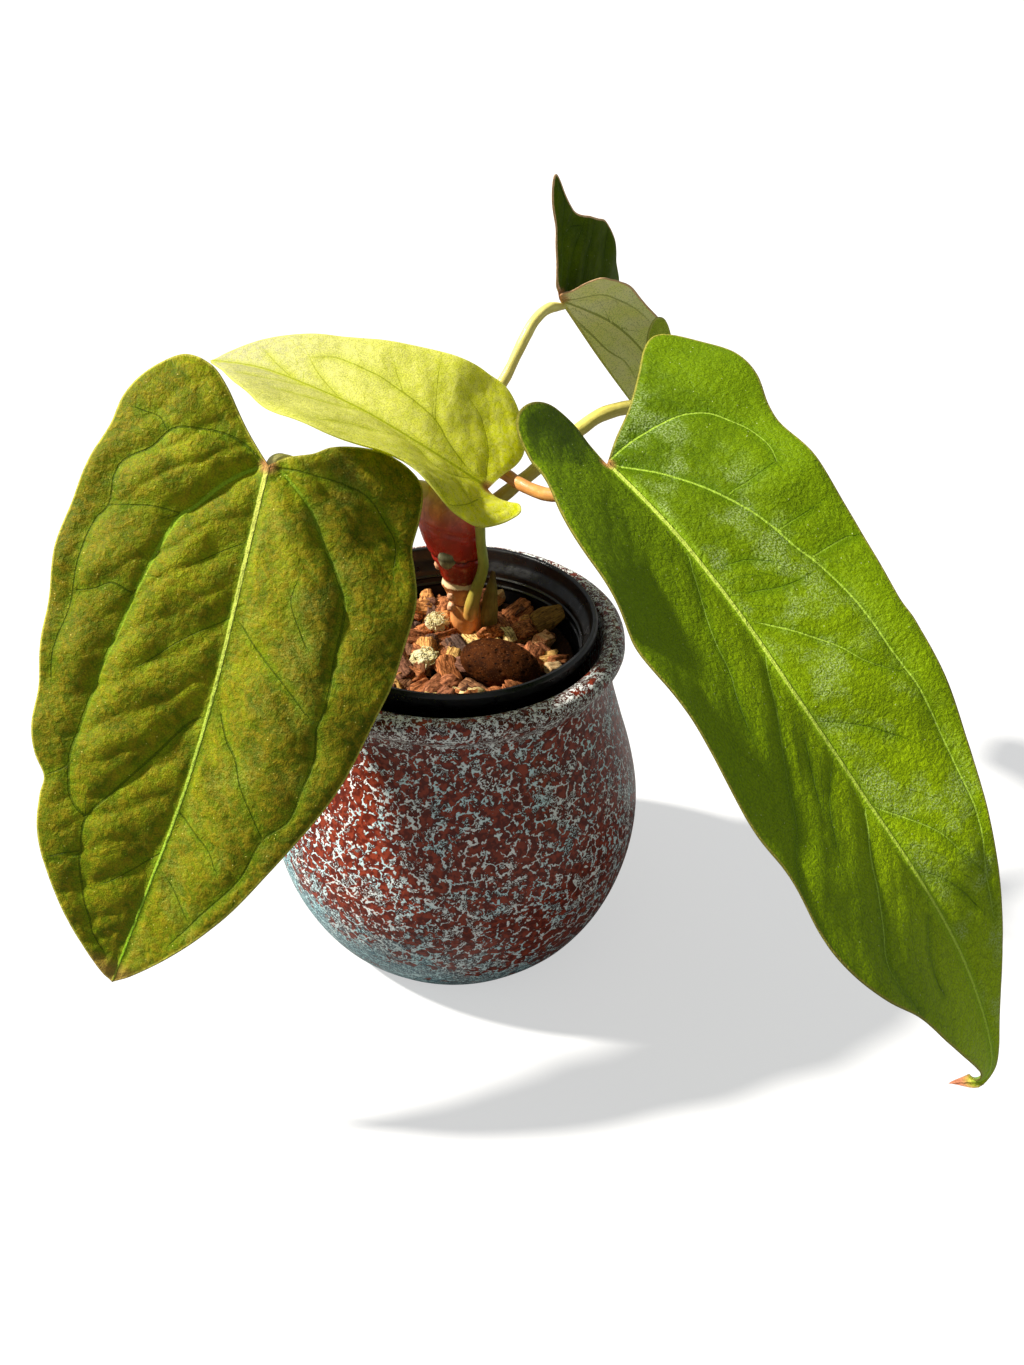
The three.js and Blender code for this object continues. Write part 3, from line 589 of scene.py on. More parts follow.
                (0.6, [[1, 2], [7, 12], [12, 26], [13, 40], [10, 56]]),
                (0.4, [[1, 26], [7, 38], [10, 50]])]),
        right=dict(
            margin=[
                [0, 0], [5, -6], [10, -11], [15, -14], [20, -15], [25, -14], [27, -11], [26, -8], [23, -4],
                [20, 2], [19, 10], [20, 22], [20, 36], [17, 52], [12, 68], [5, 80], [0, 88]],
            near=[10], sweep=[0, 0, 0],
            veins=[
                (0.6, [[1, 0], [9, -5], [17, -7], [21, 0], [22, 14]]),
                (0.8, [[1, 2], [9, 12], [15, 24], [18, 38], [15, 54]]),
                (0.4, [[1, 28], [9, 40], [12, 54]])]),
    ),
}


def ready_leaf(leaf):
    """Adds what the shape needs: the midrib's path, the mean normal, and margins that end at the midrib's
    tip."""
    leaf["path"] = Path(leaf["midrib"])
    leaf["normal"] = unit(np.array(leaf["facing"], float))
    for side in (leaf["left"], leaf["right"]):
        margin = np.array(side["margin"], float)
        to_tip = leaf["path"].length / margin[-1, 1]
        margin[:, 1] *= np.where(margin[:, 1] > 0, to_tip, 1)
        side["outline"] = Path(margin)
        side["widest"] = margin[:, 0].max()
        side["lines"] = []
        for depth, points in side["veins"]:
            points = np.array(points, float)
            points[:, 1] *= np.where(points[:, 1] > 0, to_tip, 1)
            side["lines"].append((depth, spline(points, np.linspace(0, 1, 4 * len(points)))))


def blade_frame(leaf, b, sweep):
    """Centre, direction, normal and across at b: on the midrib, and behind it straight back plus sweep
    b^2."""
    inside = np.clip(b, 0, leaf["path"].length)
    along = leaf["path"].direction(inside)
    behind = np.minimum(b, 0)[..., None]
    beyond = np.maximum(0, b - leaf["path"].length)[..., None]
    lean = np.array(sweep, float)
    centre = leaf["path"].at(inside) + along * (behind + beyond) + lean * behind**2
    along = unit(along + lean * 2 * behind)
    normal = leaf["normal"] - (along @ leaf["normal"])[..., None] * along
    normal = unit(normal)
    return centre, along, normal, np.cross(normal, along)


def folded_section(a, near, far, bend):
    """Out and up after the distance a: straight at `near`, an arc between the bend's ends, straight at
    `far`."""
    start, end = bend
    first = np.minimum(a, start)
    bent = np.clip(a - start, 0, end - start)
    rest = np.maximum(0, a - end)
    curve = (far - near) / (end - start)
    curve = np.where(np.abs(curve) < 1e-6, 1e-6, curve)
    angle = near + curve * bent
    out = first * np.cos(near) + rest * np.cos(far) + (np.sin(angle) - np.sin(near)) / curve
    rise = first * np.sin(near) + rest * np.sin(far) + (np.cos(near) - np.cos(angle)) / curve
    return out, rise, angle


def blade_points(leaf, side, sign, a, b, lift):
    """The midrib frame at b, plus the folded cross-section at a, plus the lift along the local normal. The
    margin's ripple h (a / widest)^2 sin(2 pi b / pitch + phase + sign) adds to the lift."""
    centre, _, normal, across = blade_frame(leaf, b, side["sweep"])
    station = (b / leaf["path"].length + BEHIND) / (1 + BEHIND)
    near = np.radians(spline(side["near"], station))
    far = np.radians(spline(side.get("far", side["near"]), station))
    bend = [spline(ends, station) for ends in side.get("bend", ([8], [20]))]
    out, rise, angle = folded_section(a, near, far, bend)
    height, pitch, phase = leaf["wave"]
    ripple = height * (a / side["widest"]) ** 2 * np.sin(2 * np.pi * b / pitch + phase + sign)
    tilt = angle * np.clip(a / 3, 0, 1)
    lift = lift + ripple
    sideways = sign * (out - lift * np.sin(tilt))
    return centre + across * sideways[..., None] + normal * (rise + lift * np.cos(tilt))[..., None]


def half_grid(leaf, side, spokes, steps):
    """Flat [a, b] grid of one half: spoke s runs from the midrib at L climb^1.15 to the margin, a little
    bowed, and the first spokes bend to the lobe's own inner margin."""
    crowding, lobe_spokes, most_bow = 1.15, 0.3, 0.4
    margin = side["outline"]
    lobe = margin.dense[:, 1].argmin()
    lobe_at = margin.reach[lobe]
    s = np.linspace(0, 1, spokes + 1)[:, None, None]
    t = np.linspace(0, 1, steps + 1)[None, :, None]
    outer = margin.at(lobe_at + (margin.length - lobe_at) * s[:, :, 0])
    climb = np.clip((s - leaf["fan"]) / (1 - leaf["fan"]), 0, 1)
    inner = np.concatenate([0 * climb, leaf["path"].length * climb**crowding], -1)
    hold = np.maximum(0, 1 - s / lobe_spokes) ** 2
    points = inner + (outer - inner) * t
    points = points + hold * (margin.at(lobe_at * t[:, :, 0]) - margin.dense[lobe] * t)
    bow = most_bow * t * (1 - t) * np.clip((s - 0.12) * 4, 0, 1)
    reach = outer - inner
    points[..., 0] += (reach[..., 1:] * bow)[..., 0]
    points[..., 1] -= (reach[..., :1] * bow)[..., 0]
    return np.maximum(points[..., 0], 0), points[..., 1]


def vein_fields(leaf, side, a, b):
    """Where veins run: the signed distance d to the nearest vein, how strong that vein is there, and
    `valley`, the greatest of depth exp(-d / w) over all veins. A vein's depth falls to half towards its
    end."""
    places = np.stack([a, b], -1)
    gap = np.full(a.shape, 9.0)
    level = np.zeros(a.shape)
    valley = np.zeros(a.shape)
    for depth, points in side["lines"]:
        d, along, turn = nearest(places, points)
        here = depth * (1 - 0.5 * along**2)
        closer = d < np.abs(gap)
        gap = np.where(closer, d * turn, gap)
        level = np.where(closer, here, level)
        valley = np.maximum(valley, here * np.exp(-np.sqrt(d**2 + 0.25) / leaf["valley"]))
    return gap, level, valley


def quilting(leaf, a, b):
    """Creases of the small side veins: depth (exp(-d / 1.7) - 0.3) along the lines b - slope a = k pitch, a
    little wavy. They start beside the midrib and grow shallow towards the margin."""
    depth, pitch, slope = leaf["quilt"]
    wave = rough(np.stack([a, b, 0 * a + 5], -1), 14, 7, 2)
    phase = (b - slope * a) / pitch + 0.35 * wave
    d = np.abs(phase - np.round(phase)) * pitch
    fade = step(a, 1, 8) * (1 - 0.6 * step(a, 26, 44))
    return depth * fade * (np.exp(-np.sqrt(d**2 + 0.4) / 1.7) - 0.3)


def blade_sides(leaf, side, sign, a, b):
    """The upper and the lower surface of one half, and its marks for the material. The middle surface sinks
    along the veins and swells between them, and ribs stand out below. Bumps across a line are
    exp(-(distance / w)^2)."""
    margin_thinning, midrib_depth, midrib_height, vein_depth = 0.16, 0.9, 0.5, 0.4
    swell, swell_size = leaf["swell"]
    edge = nearest(np.stack([a, b], -1), side["outline"].dense[::10])[0]
    gap, level, valley = vein_fields(leaf, side, a, b)
    free = step(a, 0.4, 4) * step(edge + 1.5, 0, 5)
    relief = rough(np.stack([sign * a, b, 0 * a], -1), swell_size, 3)
    dome = 1 - np.exp(-((gap / 6) ** 2))
    middle = free * (swell * (relief + 1.2 * dome) - valley - quilting(leaf, a, b) + 0.25)
    vein = np.minimum(level, 1.2) * np.exp(-((gap / 0.9) ** 2))
    half = BLADE_THICKNESS / 2 - margin_thinning * (1 - step(edge, 0, 3))
    rib = np.exp(-((a / 1.5) ** 2)) * np.clip(1.1 - b / leaf["path"].length, 0.12, 1.1)
    ridge = midrib_height * np.exp(-((a / 1.2) ** 2)) * step(b, -1, 3)
    upper = blade_points(leaf, side, sign, a, b, middle + half + ridge)
    sunk = midrib_depth * rib + vein_depth * vein * free
    lower = blade_points(leaf, side, sign, a, b, middle - half - sunk)
    return upper, lower, np.stack([gap, level, edge], -1).reshape(-1, 3)


def round_rim(upper, lower, push=0.25):
    """The points midway between the margins of both surfaces, pushed out from the blade."""
    rim_upper = np.concatenate([upper[0], upper[1:, -1]])
    rim_lower = np.concatenate([lower[0], lower[1:, -1]])
    inner = np.concatenate([upper[1], upper[1:, -2]])
    rim = (rim_upper + rim_lower) / 2 + push * unit(rim_upper - inner)
    for end in (0, -1):
        rim[end] = (rim_upper[end] + rim_lower[end]) / 2
    return rim


def leaf_mesh(name):
    """Both halves of a blade: an upper and a lower grid, and a round strip along the margin that joins
    them. The field `blade` holds a, b and 0 above or 1 below; `marks` the distance to a vein, its strength,
    and to the edge."""
    leaf = leaves[name]
    ready_leaf(leaf)
    spokes, steps = leaf["grid"]
    verts, faces, blade, marks = [], [], [], []
    start = 0
    for sign, side in ((-1, leaf["left"]), (1, leaf["right"])):
        a, b = half_grid(leaf, side, spokes, steps)
        upper, lower, mark = blade_sides(leaf, side, sign, a, b)
        rim = round_rim(upper, lower)
        count = a.size
        index = np.arange(count).reshape(a.shape)
        rim_index = np.concatenate([index[0], index[1:, -1]])
        band = np.stack([rim_index, 2 * count + np.arange(len(rim)), rim_index + count])
        strip = band.ravel()[quads(3, len(rim))] + start
        faces += [quads(*a.shape, start), quads(*a.shape, start + count)[:, ::-1], strip]
        verts += [upper.reshape(-1, 3), lower.reshape(-1, 3), rim]
        flat = np.stack([sign * a, b, 0 * a], -1).reshape(-1, 3)
        blade += [flat, flat + [0, 0, 1], flat[rim_index] + [0, 0, 0.5]]
        marks += [mark, mark, mark[rim_index]]
        start += 2 * count + len(rim)
    fields = {"blade": np.concatenate(blade), "marks": np.concatenate(marks)}
    return new_mesh("leaf_" + name, np.concatenate(verts), np.concatenate(faces), fields)


def make_leaf_skin():
    """What all blades share: masks over the blade and one height in millimetres. Outer grows away from the
    midrib, more on the side that Lean picks. Share runs from the sinus to the tip. The sheen patches right
    of the midrib are painted sheen: pale granular colour in place of the lamp's reflection."""
    n, given = effect("leaf skin", {
        "Length": 180.0, "Rib Base": 1.0, "Rib Tip": 0.4, "Mottle Size": 10.0, "Net Size": 4.0,
        "Vein Width": 0.3, "Line Low": 0.4, "Line High": 1.0, "Grain Size": 0.5, "Lean": 0.0})
    a, b, under = n.parts(n.field("blade")["Vector"])
    gap, level, edge = n.parts(n.field("marks")["Vector"])
    from_midrib = n.maths("ABSOLUTE", a)
    place = n.together(a, b, n.maths("MULTIPLY", under, 40.0))
    bent = n.wandering(place, 2.5, 3.0, 0.6, 2.4)
    mottle = n.cloud(bent, given["Mottle Size"], 4.0, 0.62)
    fine = n.cloud(bent, 2.6, 4.0, 0.7)
    net = n.cells(bent, given["Net Size"], "DISTANCE_TO_EDGE")["Distance"]
    grain = n.cloud(place, given["Grain Size"], 3.0, 0.65)
    wobble = n.swing(n.cloud(place, 1.4), 0.5)
    # Painted sheen: pale granular patches beside the midrib, in place of the lamp's reflection.
    patch = n.smooth(n.cloud(bent, 17.0, 3.0, 0.6), 0.47, 0.62)
    painted_sheen = n.product(patch, n.smooth(a, -1.0, 3.0), n.fade(a, 24.0, 44.0), n.smooth(grain, 0.44, 0.6))

    off_vein = n.maths("ADD", n.maths("ABSOLUTE", gap), n.maths("MULTIPLY", wobble, 0.5))
    width = n.product(given["Vein Width"], n.maths("ADD", level, 0.5))
    line = n.fade(off_vein, n.maths("MULTIPLY", width, 0.4), width)
    vein = n.product(line, n.smooth(from_midrib, 0.2, 1.4))
    strong = n.smooth(level, given["Line Low"], given["Line High"])

    share = n.maths("DIVIDE", b, given["Length"], clamp=True)
    taper = n.product(n.maths("SUBTRACT", given["Rib Tip"], given["Rib Base"]), n.maths("POWER", share, 0.7))
    off_rib = n.maths("SUBTRACT", from_midrib, n.maths("ADD", given["Rib Base"], taper))
    off_rib = n.maths("ADD", off_rib, wobble)
    ahead = n.smooth(b, -1.5, 0.5)
    rib = n.product(n.fade(off_rib, -0.3, 0.3), ahead)

    leaning = n.maths("ADD", n.product(a, given["Lean"]), n.swing(mottle, 30.0))
    from_seat = n.add("ShaderNodeVectorMath", operation="LENGTH")
    n.put(from_seat.inputs[0], n.together(a, b, 0.0))
    from_tip = n.maths("ADD", n.maths("SUBTRACT", given["Length"], b), n.maths("MULTIPLY", wobble, 4.0))
    cell_dome = n.smooth(net, 0.0, 0.4)
    return n.give({
        "Mottle": n.smooth(mottle, 0.34, 0.66),
        "Fine": n.smooth(fine, 0.4, 0.62),
        "Net": n.fade(net, 0.0, 0.08),
        "Grain": n.smooth(grain, 0.3, 0.7),
        "PaintedSheen": painted_sheen,
        "Line": n.product(vein, strong),
        "Crease": n.product(vein, n.maths("SUBTRACT", 1.0, strong)),
        "Near": n.fade(off_vein, 0.3, 3.4),
        "Rib": rib,
        "Halo": n.product(n.fade(off_rib, 0.0, 3.0), ahead),
        "Outer": n.smooth(n.maths("ADD", from_midrib, leaning), 12.0, 40.0),
        "Rim": n.fade(n.maths("ADD", edge, wobble), 0.25, 0.8),
        "Under": n.smooth(under, 0.45, 0.55),
        "Speck": n.dots(place, 2.2, rim=(0.05, 0.11), pick=(0.6, 0.64), channel=0),
        "Seat": n.fade(from_seat.outputs["Value"], 1.2, 4.0),
        "Tip": n.fade(from_tip, 4.0, 11.0),
        "Share": share,
        "Height": n.total(
            (cell_dome, 0.14), (grain, 0.18), (fine, 0.4), (mottle, 0.5), (rib, 0.3), (vein, -0.16))})


SEAT_TONE = (196, 132, 84)
TIP_TONE = (186, 118, 86)


def leaf_material(name, skin, look):
    """One blade's finish: layers of colour one over the other, its underside, midrib and rim, its gloss,
    and the share of light that passes through it."""
    material, n, surface, output = new_material("leaf_%s_skin" % name, Specular_IOR_Level=look["specular"])
    rib_base, rib_tip = look["rib"]
    line_low, line_high = look["line_from"]
    mottle_size, net_size, grain_size = look["sizes"]
    marks = n.group(
        skin, Length=leaves[name]["path"].length, Rib_Base=rib_base, Rib_Tip=rib_tip, Mottle_Size=mottle_size,
        Net_Size=net_size, Vein_Width=look["vein_width"], Line_Low=line_low, Line_High=line_high,
        Grain_Size=grain_size, Lean=look["lean"])
    deep, bright, under_deep, under_bright, under_line, rib_near, rib_far, rim = (
        tone(*look[key]) for key in (
            "deep", "bright", "under", "under_bright", "under_line", "midrib", "midrib_tip", "rim"))
    colour = n.mix(marks["Mottle"], deep, bright)
    for layer, (share, shade) in look["layers"].items():
        colour = n.lay(colour, marks[layer], share, tone(*shade))
    under = n.mix(marks["Mottle"], under_deep, under_bright)
    under = n.lay(under, marks["Net"], 0.25, under_line)
    under = n.lay(under, marks["Line"], 0.9, under_line)
    colour = n.mix(marks["Under"], colour, under)
    colour = n.mix(marks["Rib"], colour, n.mix(marks["Share"], rib_near, rib_far))
    colour = n.lay(colour, marks["Rim"], look["rim_share"], rim)
    colour = n.lay(colour, marks["Seat"], 0.8, tone(*SEAT_TONE))
    colour = n.lay(colour, marks["Tip"], look["tip_share"], tone(*TIP_TONE))
    colour = n.mix(1.0, colour, n.smooth(marks["Grain"], 0.0, 1.0, 0.78, 1.22), "MULTIPLY")
    normal = n.bump(marks["Height"], look["bump"])
    dress(n, surface, colour, n.smooth(marks["Grain"], 0.0, 1.0, *look["gloss"]), normal)
    glow = n.add("ShaderNodeBsdfTranslucent")
    n.put(glow.inputs["Color"], n.mix(1.0, colour, look["glow"], "MULTIPLY"))
    n.put(glow.inputs["Normal"], normal)
    n.put(output.inputs[0], n.blend(look["through"], surface.outputs[0], glow.outputs[0]))
    return material


# Each blade's looks. The layers are laid in this order, each a share and a colour as seen on screen.

leaf_looks = {
    # Blade a: the Outer layer with lean 0.4 darkens the outer blade, most on the right half, as painted shade
    # where that half turns from the lamp.
    "a": dict(
        deep=(100, 116, 6), bright=(162, 170, 16),
        layers=dict(
            Share=(0.5, (88, 104, 8)), Outer=(0.62, (72, 80, 4)), Fine=(0.42, (180, 146, 28)),
            Near=(0.35, (120, 158, 12)), Net=(0.3, (70, 92, 8)), PaintedSheen=(0.2, (150, 160, 96)),
            Halo=(0.5, (112, 146, 18)), Crease=(0.6, (58, 80, 6)), Line=(0.85, (152, 190, 40)),
            Speck=(0.8, (240, 226, 120))),
        under=(120, 140, 60), under_bright=(140, 156, 74), under_line=(176, 186, 110),
        midrib=(234, 236, 110), midrib_tip=(150, 206, 34), rib=(0.8, 0.35), rim=(206, 200, 80), rim_share=0.8,
        lean=0.4, line_from=(1.8, 3.0), vein_width=0.28, sizes=(11.0, 3.0, 0.55), gloss=(0.5, 0.66), bump=1.2,
        specular=0.1, through=0.16, glow=(1.5, 1.6, 0.6, 1), tip_share=0.4),
    # Blade b: the Outer layer with lean -0.3 lightens the outer blade, most on the left half, as painted
    # light where that half turns from the lamp.
    "b": dict(
        deep=(74, 100, 0), bright=(102, 128, 0),
        layers=dict(
            Share=(0.95, (190, 220, 10)), Outer=(0.6, (120, 150, 0)), Fine=(0.3, (124, 152, 8)),
            Near=(0.4, (86, 122, 2)), Net=(0.3, (60, 90, 4)), PaintedSheen=(0.5, (178, 194, 140)),
            Halo=(0.7, (150, 186, 24)), Crease=(0.6, (60, 92, 6)), Line=(0.9, (178, 210, 70)),
            Speck=(0.6, (236, 240, 180))),
        under=(104, 138, 50), under_bright=(126, 156, 66), under_line=(176, 190, 110),
        midrib=(216, 232, 100), midrib_tip=(190, 222, 60), rib=(0.9, 0.5), rim=(180, 166, 74), rim_share=0.7,
        lean=-0.3, line_from=(0.35, 0.9), vein_width=0.3, sizes=(18.0, 3.0, 0.65), gloss=(0.36, 0.54),
        bump=1.2, specular=0.12, through=0.16, glow=(1.5, 1.6, 0.4, 1), tip_share=1.0),
    # Blade c: its deep and bright tones are its own pale yellow pushed to full brightness as painted light
    # where the base turns from the lamp; the cream Share tone towards the tip is partly its own paleness and
    # partly painted sheen.
    "c": dict(
        deep=(244, 248, 6), bright=(255, 255, 44),
        layers=dict(
            Share=(1.0, (200, 196, 176)), Outer=(0.25, (220, 224, 40)), Fine=(0.5, (250, 246, 160)),
            Near=(0.4, (206, 214, 16)), Net=(0.35, (196, 198, 30)), PaintedSheen=(0.1, (250, 250, 200)),
            Halo=(0.4, (206, 214, 30)), Crease=(0.7, (176, 180, 20)), Line=(0.8, (168, 176, 16)),
            Speck=(0.25, (250, 250, 190))),
        under=(196, 204, 40), under_bright=(210, 216, 64), under_line=(150, 160, 36),
        midrib=(186, 196, 24), midrib_tip=(190, 196, 50), rib=(0.7, 0.3), rim=(240, 240, 140), rim_share=0.7,
        lean=0.0, line_from=(0.3, 0.7), vein_width=0.26, sizes=(8.0, 3.4, 0.5), gloss=(0.4, 0.56), bump=0.4,
        specular=0.08, through=0.5, glow=(1.25, 1.25, 0.25, 1), tip_share=0.0),
    # Blade d: the underside tones are its own pale underside, brightened further towards white as painted
    # light on the half that the lamp barely reaches.
    "d": dict(
        deep=(64, 84, 0), bright=(90, 110, 0),
        layers=dict(
            Share=(0.5, (88, 116, 4)), Outer=(0.2, (60, 84, 2)), Fine=(0.3, (84, 100, 8)),
            Near=(0.4, (60, 84, 2)), Net=(0.15, (74, 98, 8)), PaintedSheen=(0.1, (120, 140, 90)),
            Halo=(0.3, (110, 140, 40)), Crease=(0.6, (40, 60, 6)), Line=(0.6, (98, 124, 30)),
            Speck=(0.4, (220, 224, 190))),
        under=(250, 255, 156), under_bright=(255, 255, 186), under_line=(176, 186, 96),
        midrib=(226, 222, 120), midrib_tip=(196, 210, 90), rib=(0.9, 0.4), rim=(244, 200, 150),
        rim_share=0.95, lean=0.0, line_from=(0.4, 0.9), vein_width=0.36, sizes=(11.0, 3.4, 0.5),
        gloss=(0.42, 0.58), bump=0.8, specular=0.02, through=0.06, glow=(1.05, 1.05, 0.8, 1), tip_share=0.3),
    "e": dict(
        deep=(156, 180, 20), bright=(190, 206, 50),
        layers=dict(
            Share=(0.7, (120, 150, 20)), Outer=(0.2, (140, 166, 24)), Fine=(0.3, (200, 210, 70)),
            Near=(0.4, (150, 180, 26)), Net=(0.15, (170, 190, 56)), PaintedSheen=(0.1, (200, 206, 140)),
            Halo=(0.3, (190, 200, 70)), Crease=(0.5, (130, 156, 24)), Line=(0.6, (196, 212, 96)),
            Speck=(0.3, (236, 238, 190))),
        under=(160, 186, 70), under_bright=(180, 202, 90), under_line=(200, 212, 120),
        midrib=(216, 220, 120), midrib_tip=(176, 196, 80), rib=(0.8, 0.3), rim=(216, 210, 110), rim_share=0.7,
        lean=0.0, line_from=(0.4, 0.8), vein_width=0.3, sizes=(9.0, 3.2, 0.5), gloss=(0.42, 0.58), bump=0.8,
        specular=0.16, through=0.2, glow=(1.4, 1.5, 0.5, 1), tip_share=0.3),
}


def add_leaves():
    """Five blades, each with its own looks over the skin that all share."""
    skin = make_leaf_skin()
    for name in leaves:
        mesh = leaf_mesh(name)
        material = leaf_material(name, skin, leaf_looks[name])
        add_piece("blade_" + name, mesh, material, ["leaf_" + name])


# Stalks and stem.

def carried_frame(along):
    """Two directions square to a path at each point, carried along it without twist."""
    side = np.zeros_like(along)
    guide = np.array([1.0, 0, 0]) if abs(along[0, 1]) > 0.9 else np.array([0, 1.0, 0])
    for i, ahead in enumerate(along):
        guide = guide - (guide @ ahead) * ahead
        guide = guide / np.linalg.norm(guide)
        side[i] = guide
    return side, np.cross(along, side)


def tube(line, radii, rings, sides, squeeze=None, flat=1.0, dome=0.5, bulge=None):
    """A round section carried along a path: the radius follows the radii at even spaces, each end is a
    dome, and `flat` squeezes the section along `squeeze`. `bulge` maps (t, turn, place) to an addition to
    the radius. Gives the vertex grid, t along it and the turn round it."""
    path = Path(line)
    end = 5
    inside = np.linspace(0, path.length, rings + 1)
    bow = np.linspace(0, np.pi / 2, end + 1)[1:]
    first = float(spline(radii, 0.0)) * dome
    last = float(spline(radii, 1.0)) * dome
    distance = np.concatenate([np.zeros(end), inside, np.full(end, path.length)])
    push = np.concatenate([-first * np.sin(bow[::-1]), 0 * inside, last * np.sin(bow)])
    scale = np.concatenate([np.cos(bow[::-1]), 1 + 0 * inside, np.cos(bow)])
    along = path.direction(distance)
    side, up = carried_frame(along)
    turn = np.arange(sides) / sides * 2 * np.pi
    t = np.broadcast_to((distance / path.length)[:, None], (len(distance), sides))
    around = np.broadcast_to(turn, t.shape)
    centre = path.at(distance) + along * push[:, None]
    ray = side[:, None] * np.cos(around)[..., None] + up[:, None] * np.sin(around)[..., None]
    radius = spline(radii, t)
    if bulge is not None:
        radius = radius + bulge(t, around, centre[:, None] + ray * radius[..., None])
    offset = ray * (radius * scale[:, None])[..., None]
    if squeeze is not None:
        axis = unit(np.array(squeeze, float))
        offset = offset - (offset @ axis)[..., None] * axis * (1 - flat)
    return centre[:, None] + offset, t, around


SKIN_RADIUS = 4


def tube_mesh(name, parts):
    """One mesh of several tubes. The field `skin` holds 4 cos(turn), 4 sin(turn) + t reach, and t."""
    verts, faces, skin = [], [], []
    start = 0
    for points, t, around, reach in parts:
        verts.append(points.reshape(-1, 3))
        faces.append(quads(*t.shape, start, round_columns=True))
        across, up = np.cos(around) * SKIN_RADIUS, np.sin(around) * SKIN_RADIUS
        skin.append(np.stack([across, up + t * reach, t], -1).reshape(-1, 3))
        start += t.size
    return new_mesh(name, np.concatenate(verts), np.concatenate(faces), {"skin": np.concatenate(skin)})


def make_stalk_skin():
    """Long streaks, blotches, small specks and a fine height for green and red stalks."""
    n, given = effect("stalk skin", {"Streak Size": 1.0, "Blotch Size": 4.0})
    place = n.own_place()
    long_way = n.vectors("MULTIPLY", n.field("skin")["Vector"], (1.6, 0.12, 0.0))
    streak = n.cloud(long_way, given["Streak Size"], 3.0, 0.6)
    return n.give({
        "Streak": n.smooth(streak, 0.35, 0.65),
        "Blotch": n.smooth(n.cloud(place, given["Blotch Size"], 3.0, 0.6), 0.38, 0.62),
        "Speck": n.dots(place, 1.3, rim=(0.1, 0.2), pick=(0.5, 0.6), channel=1),
        "Height": n.total((streak, 0.12), (n.cloud(place, 0.5, 2.0), 0.06))})


def stalk_material(name, skin, stops, shade, speck, gloss=(0.3, 0.45), specks=0.3, bands=()):
    """Colour along the stalk by t, with streaks and blotches in a darker or warmer shade and pale specks.
    Each band is a ragged, slanted ring of one colour at a height, with a half width."""
    material, n, surface, _ = new_material(name, Specular_IOR_Level=0.5)
    marks = n.group(skin, Streak_Size=1.0, Blotch_Size=4.0)
    colour = n.ramp(n.parts(n.field("skin")["Vector"])[2], stops)
    colour = n.lay(colour, marks["Streak"], 0.35, shade)
    colour = n.lay(colour, marks["Blotch"], 0.3, shade)
    colour = n.lay(colour, marks["Speck"], specks, speck)
    if bands:
        place = n.own_place()
        x, _, z = n.parts(place)
        aslant = n.maths("ADD", z, n.maths("MULTIPLY", x, 0.1))
        level = n.maths("ADD", aslant, n.swing(n.cloud(place, 2.0, 3.0, 0.6), 2.4))
        for height, half, band in bands:
            off = n.maths("ABSOLUTE", n.maths("SUBTRACT", level, height))
            colour = n.mix(n.smooth(off, 0.6 * half, half, 0.92, 0.0), colour, band)
    dress(n, surface, colour, n.smooth(marks["Streak"], 0.0, 1.0, *gloss), n.bump(marks["Height"], 1.0))
    return material


